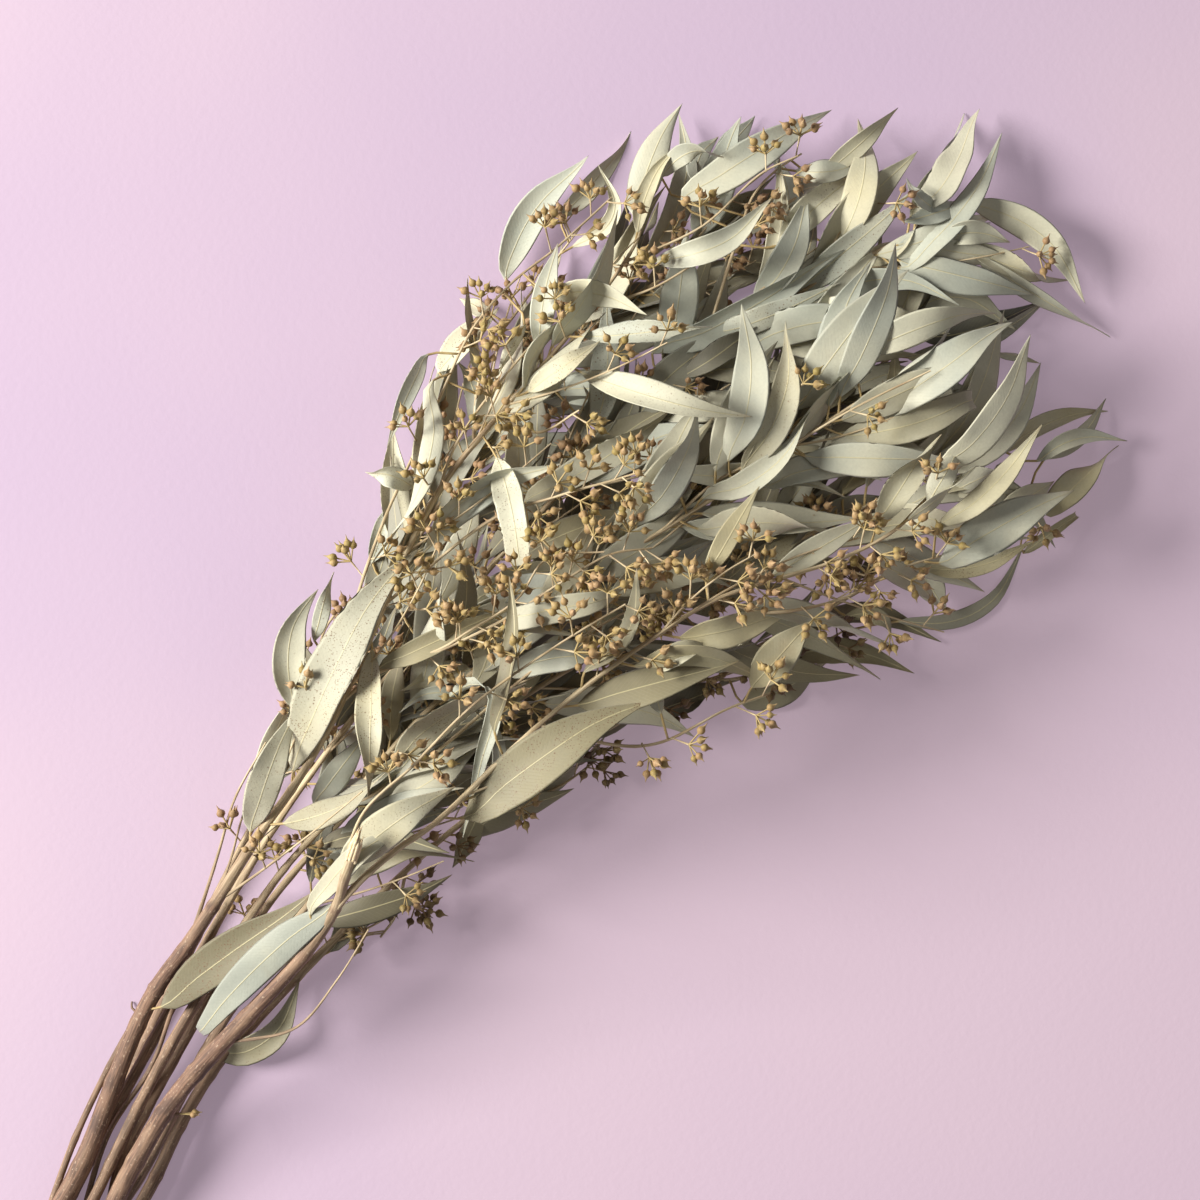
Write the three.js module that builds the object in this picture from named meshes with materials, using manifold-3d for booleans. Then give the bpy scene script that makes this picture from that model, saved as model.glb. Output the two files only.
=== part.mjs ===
// A bunch of dried, seeded eucalyptus, cut and laid down on a table: eight leafy stems, fanned
// out from a bundle of bare wood, with long sickle leaves and umbels of beaked gum nuts.
// Millimetres, +Z up, the table at z = 0. The bunch lies along X, its cut ends towards -X.
// Each stem is one solid, with its twigs, leaves and nuts grown onto it.

import * as THREE from "three";
import { mergeVertices } from "three/addons/utils/BufferGeometryUtils.js";
import Module from "manifold-3d";

const wasm = await Module();
wasm.setup();

// The plan: x to the right and y up, from the corner of the 600 mm square seen from above.
const PLAN_TURN = -Math.PI / 4; // the bunch runs up the square's diagonal
const PLAN_CENTRE = [250, 256]; // the point of the plan that the stems are laid about
const CENTRING = [7.4, -8.8]; // brings the middle of the finished bunch over the origin

// Wood
const STEM_SIDES = 6;
const TWIG_SIDES = 4;
const STEM_STEP = 34; // spacing of the rings along a main stem
const TWIG_STEP = 30;
const BRANCH_R = [2.8, 1.1]; // at the fork, at the end
const TWIG_R = [1.5, 0.8];
const STEM_LOFT = 9; // height of a stem above what it lies on, among its leaves
const FLAT = Math.cos(Math.PI / 6); // a six-sided stem's flat, as a share of its radius
const REST_CUT = 0.3; // depth of the flats where wood or a leaf rests on the table
const ON_TABLE = 2; // how many of the lowest stems lie on the table itself
const STIFF_PASSES = 4; // how far a stem bridges the hollows beneath it

// Leaves
const BLADE_STATIONS = [0, 0.24, 0.6, 1]; // shares of the blade's length
const BLADE_THICK = 1.3; // at the midrib
const BLADE_FOLD = 0.12; // how far the midrib sinks, as a share of half the width
const PETIOLE_R = 0.8;
const PETIOLE_BACK = 7; // how far behind the blade its petiole leaves the wood
const FILL_SPAN = [0.4, 0.9]; // the share of a main stem that bears these leaves
const FILL_LENGTH = [58, 84];
const FILL_WIDTH = [15, 20];

// Gum nuts
const NUT_R = 2.6;
const NUT_LENGTH = 8; // from the pedicel's end to the beak's tip
const NUT_WIDEST = 0.36; // where along it the nut is widest
const PEDICEL = 5.5;
const PEDUNCLE = 9;
const STALK_R = 0.75;
const UMBEL_STEP = 56; // along a fruiting twig
const UMBEL_ROOM = 11; // the nuts' reach round the end of a peduncle
const UMBEL_OVER_LEAF = 5;

// How one stem lies on the ones beneath it
const CELL = 4;
const GRID_X = [-400, 400];
const GRID_Y = [-184, 184];
const CLEAR = 0.6; // air between two stems that lie on each other
const LOOSE = { reach: 3, blur: 2, slope: 0.6 }; // cells, cells, rise over run
const CLOSE = { reach: 2, blur: 1, slope: 1.0 };
const NECK = [-240, -90]; // x where the bare bundle passes into the foliage
const SEAT_GAP = 0.3; // between two stems where they touch
const RAISED = 6; // a stem is held this much higher before it is let down
const DROP_STEP = 0.4;
const TILT_STEP = 0.004; // rise over run
const MOST_TILT = 0.06;
const SLIVER = 0.06; // edges shorter than this, left where pieces join, are closed up

// Colours
const FOLIAGE = 0xa3a38a;

// Each stem, from the lowest up. Points are in the plan, and radii at the cut end and the tip.
// A leaf is its base, its tip, its width and its bow, to the left of the way it grows, as a
// share of its length. fill is how many leaves grow by rule, and fruit the share of the main
// stem that bears nuts. Side twigs all bear nuts.
const STEMS = [
  {
    name: "sprig_1_lower_right",
    loft: 15,
    stem: [[44, -44], [70, 0], [100, 57], [150, 112], [201, 162], [240, 194], [300, 232],
      [350, 260], [410, 292], [450, 315]],
    radius: [3.6, 1.3],
    twigs: [
      [[240, 194], [270, 200], [298, 218]],
      [[201, 162], [196, 140], [188, 128]],
      [[350, 260], [380, 262], [424, 284]],
    ],
    leaves: [
      [372, 248, 419, 272, 17, -0.08], [415, 269, 441, 274, 10, 0.1],
      [425, 292, 451, 276, 9, 0.25], [452, 289, 519, 330, 9, -0.22],
      [461, 317, 476, 294, 15, 0], [239, 192, 225, 163, 12, 0],
      [257, 198, 304, 229, 12, -0.05], [102, 66, 147, 107, 17, -0.2],
    ],
    fill: 3,
    fruit: [0.35, 0.95],
  },
  {
    name: "sprig_2_upper_left",
    loft: 16,
    stem: [[4, -42], [32, 0], [70, 80], [115, 170], [160, 255], [200, 320], [235, 375],
      [270, 415], [310, 450], [360, 480], [400, 505]],
    radius: [3.2, 1.3],
    twigs: [
      [[235, 375], [240, 420], [260, 450], [290, 490]],
      [[310, 450], [330, 490], [345, 505]],
      [[160, 255], [158, 280], [170, 300]],
    ],
    leaves: [
      [244, 446, 228, 455, 10, 0], [218, 416, 250, 448, 15, 0.05],
      [243, 382, 256, 428, 17, 0.08], [184, 319, 194, 353, 11, 0],
      [125, 211, 146, 256, 12, 0], [252, 463, 297, 524, 18, 0.12],
      [280, 494, 318, 539, 12, 0], [286, 480, 299, 521, 9, -0.35],
      [361, 515, 381, 547, 15, 0.1], [396, 484, 388, 531, 12, -0.08],
      [350, 512, 361, 535, 11, 0.2], [415, 482, 452, 496, 12, 0],
    ],
    fill: 8,
    fruit: [0.5, 0.9],
  },
  {
    name: "sprig_3_middle",
    loft: 18,
    stem: [[66, -46], [52, 0], [88, 75], [135, 150], [200, 220], [260, 280], [330, 340],
      [395, 385], [450, 425], [490, 455]],
    radius: [3.2, 1.2],
    twigs: [
      [[395, 385], [430, 390], [462, 384]],
      [[260, 280], [270, 312], [290, 330]],
    ],
    leaves: [
      [449, 372, 510, 390, 13, 0.1], [448, 437, 512, 435, 17, 0.28],
      [475, 464, 501, 456, 11, 0.1], [424, 404, 466, 416, 11, 0.1],
      [306, 409, 365, 425, 13, -0.14], [317, 397, 374, 412, 12, -0.1],
      [345, 387, 387, 410, 11, 0], [300, 364, 346, 388, 12, -0.05],
    ],
    fill: 17,
    fruit: [0.4, 0.75],
  },
  {
    name: "sprig_4_right",
    loft: 18,
    stem: [[20, -50], [62, 0], [105, 80], [160, 155], [225, 225], [300, 275], [380, 320],
      [450, 355], [500, 375]],
    radius: [3.2, 1.3],
    twigs: [
      [[450, 355], [490, 352], [524, 344]],
      [[380, 320], [410, 318], [440, 310]],
    ],
    leaves: [
      [500, 374, 560, 399, 11, 0.06], [524, 371, 559, 404, 9, -0.1],
      [520, 370, 568, 380, 10, 0.14], [477, 372, 514, 385, 11, 0.05],
      [475, 354, 509, 369, 14, 0], [462, 316, 520, 331, 11, -0.1],
      [515, 324, 548, 347, 7, 0], [500, 342, 531, 361, 15, 0],
      [346, 294, 417, 351, 25, 0.02], [524, 344, 563, 381, 16, -0.03],
    ],
    fill: 14,
    fruit: [0.45, 0.8],
  },
  {
    name: "sprig_5_upper",
    loft: 20,
    stem: [[14, -44], [32, 0], [78, 85], [130, 175], [185, 250], [240, 310], [300, 375],
      [350, 420], [410, 460], [460, 485], [480, 497]],
    radius: [3.2, 1.2],
    twigs: [
      [[350, 420], [368, 478], [380, 508], [402, 526]],
      [[240, 310], [272, 348], [300, 357], [325, 363]],
      [[410, 460], [424, 492], [440, 502]],
    ],
    leaves: [
      [389, 478, 438, 521, 17, 0.03], [397, 453, 457, 503, 16, 0],
      [400, 425, 443, 481, 15, 0], [399, 517, 435, 524, 13, -0.12],
      [411, 514, 450, 549, 12, -0.04], [471, 496, 487, 550, 12, 0.04],
      [450, 466, 505, 537, 14, -0.07], [480, 498, 451, 488, 11, 0],
      [470, 496, 453, 511, 9, 0.15], [472, 481, 507, 480, 14, 0.1],
      [486, 499, 546, 450, 16, 0.16], [487, 476, 562, 435, 9, -0.03],
      [341, 500, 418, 551, 19, 0], [274, 416, 375, 460, 17, -0.03],
      [326, 423, 421, 478, 18, -0.05], [351, 430, 420, 459, 13, -0.04],
      [331, 513, 362, 521, 11, 0.2],
    ],
    fill: 14,
    fruit: [0.42, 0.68],
  },
  {
    name: "sprig_6_centre",
    loft: 24,
    stem: [[26, -36], [45, 0], [85, 78], [138, 160], [175, 200], [220, 250], [280, 295],
      [320, 327], [375, 362], [425, 396], [467, 416]],
    radius: [3.2, 1.1],
    twigs: [
      [[165, 190], [215, 222], [260, 260], [290, 282], [322, 299]],
      [[375, 362], [388, 380], [391, 402]],
      [[280, 295], [300, 312], [334, 300]],
    ],
    leaves: [
      [396, 393, 449, 463, 21, 0.02], [425, 419, 495, 444, 17, 0.02],
      [437, 393, 500, 439, 22, -0.02], [419, 381, 493, 406, 18, -0.08],
      [369, 363, 391, 438, 17, -0.12], [338, 359, 422, 354, 14, 0.04],
      [340, 336, 394, 344, 13, -0.08], [308, 329, 357, 388, 18, 0.02],
      [294, 312, 354, 353, 19, -0.06], [324, 297, 357, 331, 14, 0.08],
      [263, 348, 339, 396, 17, -0.03], [303, 300, 256, 291, 15, -0.04],
      [247, 292, 236, 254, 16, 0.1], [237, 266, 203, 256, 13, -0.05],
      [244, 295, 221, 272, 11, -0.1], [267, 287, 251, 266, 10, -0.1],
      [241, 197, 224, 256, 8, -0.3], [237, 250, 202, 246, 8, -0.2],
      [196, 201, 243, 233, 17, -0.05], [167, 175, 234, 211, 14, 0.08],
      [159, 199, 187, 236, 14, 0],
    ],
    fill: 10,
    fruit: [0.38, 0.62],
  },
  {
    name: "sprig_7_left_edge",
    loft: 30,
    stem: [[-4, -46], [31, 0], [60, 70], [76, 103], [100, 136], [129, 180], [165, 232],
      [197, 300], [220, 350], [250, 390], [280, 425], [312, 467], [321, 487]],
    radius: [5.2, 1.1],
    twigs: [
      [[165, 232], [175, 275], [192, 330], [215, 385], [242, 442], [280, 477], [306, 502]],
      [[174, 250], [197, 267], [235, 280], [272, 302], [300, 320], [325, 325]],
      [[250, 390], [270, 382], [290, 392]],
    ],
    leaves: [
      [150, 216, 209, 329, 25, 0.03], [151, 247, 161, 306, 17, 0.12],
      [128, 186, 153, 250, 17, 0], [161, 280, 171, 314, 8, 0],
      [218, 408, 187, 316, 12, 0.13], [215, 421, 196, 374, 9, 0],
      [209, 355, 186, 361, 12, -0.1], [270, 424, 280, 477, 13, 0.04],
      [263, 435, 249, 411, 7, 0], [276, 451, 323, 438, 14, 0.1],
      [265, 402, 301, 425, 12, 0], [291, 411, 373, 386, 15, -0.04],
      [80, 96, 163, 156, 21, 0.02], [327, 468, 384, 500, 15, -0.16],
      [317, 493, 340, 550, 18, 0.04], [250, 369, 261, 316, 15, 0.04],
      [190, 276, 191, 206, 15, 0],
    ],
    fill: 0,
    fruit: [0.5, 0.85],
  },
  {
    name: "sprig_8_broken_branch",
    loft: 30,
    stem: [[40, -44], [57, 0], [76, 34], [92, 57], [115, 83], [149, 119], [170, 147],
      [178, 166], [186, 186]],
    radius: [5, 3.8],
    branch: [[170, 147], [181, 161], [200, 179], [224, 196], [270, 240], [310, 271],
      [357, 301], [425, 323], [450, 342], [477, 367]],
    twigs: [
      [[272, 240], [305, 231], [330, 232], [360, 247], [382, 255]],
      [[357, 301], [380, 294], [415, 300], [442, 314], [468, 322]],
    ],
    leaves: [
      [433, 336, 464, 382, 17, 0], [458, 347, 475, 376, 13, 0],
      [464, 335, 514, 386, 13, -0.06], [465, 318, 532, 355, 22, 0.02],
      [235, 196, 321, 256, 27, 0.03], [338, 282, 393, 297, 17, -0.05],
      [373, 258, 402, 291, 19, 0], [327, 267, 354, 278, 12, 0.1],
      [329, 246, 326, 275, 10, 0.05], [172, 154, 89, 70, 18, -0.04],
      [178, 172, 232, 212, 19, 0.05], [160, 148, 214, 196, 12, 0.1],
    ],
    fill: 0,
    fruit: [0.68, 0.95],
  },
];

// A seeded stream of draws from 0 to 1.
function stream(seed) {
  let state = seed;
  return () => {
    state = (state * 16807) % 2147483647;
    return state / 2147483647;
  };
}

const mix = (a, b, t) => a + (b - a) * t;
const clamp01 = (t) => Math.min(1, Math.max(0, t));

function smooth(t) {
  const c = clamp01(t);
  return c * c * (3 - 2 * c);
}

// A point of the plan, turned and moved into the part's own frame.
function place([x, y]) {
  const dx = x - PLAN_CENTRE[0];
  const dy = y - PLAN_CENTRE[1];
  const c = Math.cos(PLAN_TURN);
  const s = Math.sin(PLAN_TURN);
  return new THREE.Vector3(c * dx - s * dy, s * dx + c * dy, 0);
}

// The height of all that has been laid so far is kept on a grid of square cells.
const COLUMNS = Math.round((GRID_X[1] - GRID_X[0]) / CELL);
const ROWS = Math.round((GRID_Y[1] - GRID_Y[0]) / CELL);
const inGrid = (column, row) => column >= 0 && row >= 0 && column < COLUMNS && row < ROWS;

// Runs a window of cells over the grid, along its rows and then along its columns.
function windowed(height, reach, summary) {
  let from = height;
  for (const [stepX, stepY] of [[1, 0], [0, 1]]) {
    const to = new Float64Array(from.length);
    for (let row = 0; row < ROWS; row++) {
      for (let column = 0; column < COLUMNS; column++) {
        const seen = [];
        for (let k = -reach; k <= reach; k++) {
          const c = column + k * stepX;
          const r = row + k * stepY;
          if (inGrid(c, r)) seen.push(from[r * COLUMNS + c]);
        }
        to[row * COLUMNS + column] = summary(seen);
      }
    }
    from = to;
  }
  return from;
}

// Nothing stiff drops off an edge, so the sheet falls away no steeper than the slope.
function relaxed(height, slope) {
  const to = height.slice();
  const behind = [[-1, 0], [-1, -1], [0, -1], [1, -1]];
  const cells = Array.from(to.keys());
  for (const [order, sign] of [[cells, 1], [cells.slice().reverse(), -1]]) {
    for (const at of order) {
      const column = at % COLUMNS;
      const row = Math.floor(at / COLUMNS);
      for (const [dx, dy] of behind) {
        const c = column + sign * dx;
        const r = row + sign * dy;
        if (!inGrid(c, r)) continue;
        to[at] = Math.max(to[at], to[r * COLUMNS + c] - slope * CELL * Math.hypot(dx, dy));
      }
    }
  }
  return to;
}

function draped(height, { reach, blur, slope }) {
  const spread = windowed(height, reach, (seen) => Math.max(...seen));
  const mean = (seen) => seen.reduce((sum, value) => sum + value, 0) / seen.length;
  return windowed(relaxed(spread, slope), blur, mean);
}

// Reads a grid between the middles of its cells.
function readGrid(grid, x, y) {
  const u = Math.min(COLUMNS - 1.001, Math.max(0, (x - GRID_X[0]) / CELL - 0.5));
  const v = Math.min(ROWS - 1.001, Math.max(0, (y - GRID_Y[0]) / CELL - 0.5));
  const c = Math.floor(u);
  const r = Math.floor(v);
  const low = mix(grid[r * COLUMNS + c], grid[r * COLUMNS + c + 1], u - c);
  const high = mix(grid[(r + 1) * COLUMNS + c], grid[(r + 1) * COLUMNS + c + 1], u - c);
  return mix(low, high, v - r);
}

const foliageShare = (x) => smooth((x - NECK[0]) / (NECK[1] - NECK[0]));

// The surface that the next stem lies on: close over the bare wood, loose over the foliage.
function sheetOver(height) {
  const close = draped(height, CLOSE);
  const loose = draped(height, LOOSE);
  return (x, y) => mix(readGrid(close, x, y), readGrid(loose, x, y), foliageShare(x));
}

// Raises the cells under a face to its upper side.
function cover(height, [a, b, c]) {
  const longest = Math.max(a.distanceTo(b), b.distanceTo(c), c.distanceTo(a));
  const steps = Math.ceil(longest / (CELL / 2)) + 1;
  for (let i = 0; i <= steps; i++) {
    for (let j = 0; i + j <= steps; j++) {
      const [u, v] = [i / steps, j / steps];
      const x = a.x + (b.x - a.x) * u + (c.x - a.x) * v;
      const y = a.y + (b.y - a.y) * u + (c.y - a.y) * v;
      const z = a.z + (b.z - a.z) * u + (c.z - a.z) * v;
      const column = Math.floor((x - GRID_X[0]) / CELL);
      const row = Math.floor((y - GRID_Y[0]) / CELL);
      const at = row * COLUMNS + column;
      height[at] = Math.max(height[at], z + CLEAR);
    }
  }
}

// The level direction to the left of a way through space, and the one square to both.
function sideways(tangent) {
  const left = new THREE.Vector3(-tangent.y, tangent.x, 0).normalize();
  const up = tangent.clone().cross(left).normalize();
  return { left, up };
}

function tangentAt(points, i) {
  const before = points[Math.max(0, i - 1)];
  const after = points[Math.min(points.length - 1, i + 1)];
  return after.clone().sub(before).normalize();
}

// A ring of corners, counted anticlockwise about the way that it faces.
function ringOf(centre, across, up, radius, sides, start = 0) {
  return Array.from({ length: sides }, (_, j) => {
    const angle = start + (j * 2 * Math.PI) / sides;
    return centre
      .clone()
      .addScaledVector(across, radius * Math.cos(angle))
      .addScaledVector(up, radius * Math.sin(angle));
  });
}

function roundRing(centre, tangent, radius, sides, start = 0) {
  const { left, up } = sideways(tangent);
  return ringOf(centre, left, up, radius, sides, start);
}

// Faces from one ring to the next. From side flip on, they are split the other way.
function strip(a, b, flip = Infinity) {
  return a.flatMap((corner, j) => {
    const k = (j + 1) % a.length;
    return j >= flip
      ? [[corner, a[k], b[j]], [a[k], b[k], b[j]]]
      : [[corner, a[k], b[k]], [corner, b[k], b[j]]];
  });
}

const coneTo = (ring, tip) => ring.map((corner, j) => [corner, ring[(j + 1) % ring.length], tip]);
const capOver = (ring) => ring.slice(2).map((corner, j) => [ring[0], ring[j + 1], corner]);
const capUnder = (ring) => capOver(ring).map(([a, b, c]) => [a, c, b]);

// What is stiff bridges a hollow: no inner point hangs below the middle of its neighbours.
function bridged(points, passes) {
  for (let pass = 0; pass < passes; pass++) {
    for (let i = 1; i + 1 < points.length; i++) {
      points[i].z = Math.max(points[i].z, (points[i - 1].z + points[i + 1].z) / 2);
    }
  }
  return points;
}

// A length of wood over a route in the plan. lay gives the height of its middle.
function woodAlong(route, radii, step, sides, lay) {
  const curve = new THREE.CatmullRomCurve3(route.map(place), false, "catmullrom", 0.5);
  const chords = route.slice(1).map((p, i) => Math.hypot(p[0] - route[i][0], p[1] - route[i][1]));
  const count = Math.ceil(chords.reduce((sum, chord) => sum + chord, 0) / step);
  const points = [];
  const radius = [];
  for (let i = 0; i <= count; i++) {
    const t = i / count;
    const p = curve.getPoint(t);
    radius.push(mix(radii[0], radii[1], t));
    p.z = lay(p, t, radius[i]);
    points.push(p);
  }
  return { points: bridged(points, STIFF_PASSES), radius, sides };
}

function woodFaces({ points, radius, sides }) {
  const rings = points.map((p, i) => roundRing(p, tangentAt(points, i), radius[i], sides));
  const skin = rings.slice(1).flatMap((ring, i) => strip(rings[i], ring));
  return [...capUnder(rings[0]), ...skin, ...capOver(rings.at(-1))];
}

function nearestWood(woods, { x, y }) {
  let best = null;
  for (const { points } of woods) {
    for (let i = 0; i + 1 < points.length; i++) {
      const run = points[i + 1].clone().sub(points[i]);
      const dot = (x - points[i].x) * run.x + (y - points[i].y) * run.y;
      const point = points[i].clone().addScaledVector(run, clamp01(dot / (run.x ** 2 + run.y ** 2)));
      const away = Math.hypot(point.x - x, point.y - y);
      if (!best || away < best.away) best = { point, away };
    }
  }
  return best.point;
}

// A blade's width along its length, as a share of its widest.
const bladeWidth = (u) => Math.sin(Math.PI * u ** 0.72) ** 0.9;

// A leaf: its petiole's root, then its stations, each with its middle, its left and its half width.
function leafShape(row, woods, sheet, layer, loft, rests, draw) {
  const [baseX, baseY, tipX, tipY, width, bow] = row;
  const base = place([baseX, baseY]);
  const tip = place([tipX, tipY]);
  const along = tip.clone().sub(base);
  const sideBow = new THREE.Vector3(-along.y, along.x, 0).multiplyScalar(2 * bow);
  const control = base.clone().add(tip).multiplyScalar(0.5).add(sideBow);
  const curve = new THREE.QuadraticBezierCurve3(base, control, tip);
  const root = nearestWood(woods, base.clone().addScaledVector(along.normalize(), -PETIOLE_BACK));
  const rootRise = Math.max(2, root.z - sheet(root.x, root.y));
  const tipRise = rests ? -REST_CUT : mix(2, loft, draw());
  const arch = mix(-0.15, 0.35, draw()) * loft;
  const roll = mix(-0.45, 0.45, draw());
  const twist = mix(-0.5, 0.5, draw());

  const centres = BLADE_STATIONS.map((u) => curve.getPoint(u));
  const stations = BLADE_STATIONS.map((u, i) => {
    const flat = tangentAt(centres, i);
    const half = i === 0 ? PETIOLE_R : (bladeWidth(u) * width) / 2;
    const angle = roll + twist * u;
    const left = new THREE.Vector3(-flat.y, flat.x, 0).multiplyScalar(Math.cos(angle));
    left.z = Math.sin(angle);
    const under = [-half, 0, half].map((w) => centres[i].clone().addScaledVector(left, w));
    const ground = Math.max(...under.map((p) => sheet(p.x, p.y)));
    const rise = mix(rootRise, tipRise, u) + arch * 4 * u * (1 - u);
    const least = u === 1 ? -REST_CUT : half * Math.abs(Math.sin(angle)) + BLADE_THICK;
    const centre = centres[i].clone().setZ(ground + Math.max(rise, least));
    const hidden = Math.max(...under.map((p) => readGrid(layer, p.x, p.y))) - centre.z + least;
    return { centre, left, half, u, hidden };
  });
  const lift = Math.max(0, ...stations.filter(({ u }) => u > 0.1 && u < 1).map(({ hidden }) => hidden));
  if (!rests) for (const station of stations) station.centre.z += lift * smooth(station.u / 0.4);
  bridged(stations.map(({ centre }) => centre), 1);
  return { root, stations };
}

function leafFaces({ root, stations }) {
  const middles = [root, ...stations.map(({ centre }) => centre)];
  const rings = stations.slice(0, -1).map(({ centre, left, half }, i) => {
    const up = tangentAt(middles, i + 1).cross(left).normalize();
    const sunk = centre.clone().addScaledVector(up, -BLADE_FOLD * half);
    return [
      centre.clone().addScaledVector(left, half),
      sunk.clone().addScaledVector(up, BLADE_THICK / 2),
      centre.clone().addScaledVector(left, -half),
      sunk.clone().addScaledVector(up, -BLADE_THICK / 2),
    ];
  });
  const rootRing = roundRing(root, tangentAt(middles, 0), PETIOLE_R, 4);
  const skin = rings.flatMap((ring, i) => strip(i === 0 ? rootRing : rings[i - 1], ring, 2));
  return [...capUnder(rootRing), ...skin, ...coneTo(rings.at(-1), middles.at(-1))];
}

// The leaves that grow by rule: alternate sides of the upper stem, leaning forward.
function fillLeaves(stem, draw) {
  const route = stem.stem.map(([x, y]) => new THREE.Vector3(x, y, 0));
  const curve = new THREE.CatmullRomCurve3(route, false, "catmullrom", 0.5);
  return Array.from({ length: stem.fill }, (_, i) => {
    const t = mix(...FILL_SPAN, (i + 0.5) / stem.fill);
    const at = curve.getPoint(t);
    const way = curve.getTangent(t);
    const side = i % 2 ? 1 : -1;
    const heading = Math.atan2(way.y, way.x) + side * mix(0.35, 0.95, draw());
    const length = mix(...FILL_LENGTH, draw());
    const start = mix(8, 20, draw());
    const width = mix(...FILL_WIDTH, draw());
    const ends = [start, start + length].flatMap((reach) => [
      at.x + Math.cos(heading) * reach,
      at.y + Math.sin(heading) * reach,
    ]);
    return [...ends, width, side * mix(-0.12, 0.02, draw())];
  });
}

function pointOn({ points }, share) {
  const at = share * (points.length - 1);
  const i = Math.min(points.length - 2, Math.floor(at));
  const run = points[i + 1].clone().sub(points[i]);
  return { root: points[i].clone().addScaledVector(run, at - i), tangent: run.normalize() };
}

// An umbel: its peduncle's root and end, and the way that each of its nuts points.
function umbelShape(wood, share, side, sheet, layer, draw) {
  const { root, tangent } = pointOn(wood, share);
  const heading = Math.atan2(tangent.y, tangent.x) + side * mix(0.7, 1.2, draw());
  const reach = PEDUNCLE * mix(0.8, 1.2, draw());
  const hub = root.clone();
  hub.x += reach * Math.cos(heading);
  hub.y += reach * Math.sin(heading);
  const around = [0, 1, 2, 3, 4, 5].map((k) => {
    const angle = (k * Math.PI) / 3;
    return [hub.x + UMBEL_ROOM * Math.cos(angle), hub.y + UMBEL_ROOM * Math.sin(angle)];
  });
  const ground = Math.max(...around.map(([x, y]) => sheet(x, y)));
  const leafTop = Math.max(...around.map(([x, y]) => readGrid(layer, x, y)));
  const rise = Math.max(8, root.z - sheet(root.x, root.y) + mix(-3, 4, draw()));
  hub.z = Math.max(ground + rise, leafTop + UMBEL_OVER_LEAF);
  const fan = mix(0.75, 1.1, draw());
  const ways = [0, fan, -fan].map((turn) => {
    const aim = heading + turn + mix(-0.2, 0.2, draw());
    const climb = mix(-0.3, 0.5, draw());
    return new THREE.Vector3(
      Math.cos(aim) * Math.cos(climb),
      Math.sin(aim) * Math.cos(climb),
      Math.sin(climb),
    );
  });
  return { root, hub, ways };
}

// A pedicel and its nut, drawn out of a face of the block at the peduncle's end.
function nutFaces(mouth, hub, way) {
  const sides = mouth.length;
  const middle = mouth.reduce((sum, p) => sum.add(p), new THREE.Vector3()).divideScalar(sides);
  const corner = mouth[0].clone().sub(middle);
  const across = corner.addScaledVector(way, -corner.dot(way)).normalize();
  const up = way.clone().cross(across);
  const ring = (distance, radius) =>
    ringOf(hub.clone().addScaledVector(way, distance), across, up, radius, sides);
  const neck = ring(PEDICEL, STALK_R);
  const widest = ring(PEDICEL + NUT_LENGTH * NUT_WIDEST, NUT_R);
  const tip = hub.clone().addScaledVector(way, PEDICEL + NUT_LENGTH);
  return [...strip(mouth, neck), ...strip(neck, widest), ...coneTo(widest, tip)];
}

// The three-sided peduncle ends in a block. A nut grows from its end and its two upper sides.
function umbelFaces({ root, hub, ways }) {
  const climbing = hub.clone().sub(root).normalize();
  const blockStart = hub.clone().addScaledVector(climbing, -2 * STALK_R);
  const [from, near, far] = [root, blockStart, hub].map((centre) =>
    roundRing(centre, climbing, STALK_R, 3, -Math.PI / 6),
  );
  const side = (j) => [near[j], near[(j + 1) % 3], far[(j + 1) % 3], far[j]];
  return [
    ...capUnder(from),
    ...strip(from, near),
    ...nutFaces(far, hub, ways[0]),
    ...nutFaces(side(0), hub, ways[1]),
    ...nutFaces(side(1), hub, ways[2]),
    ...capOver(side(2)),
  ];
}

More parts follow.
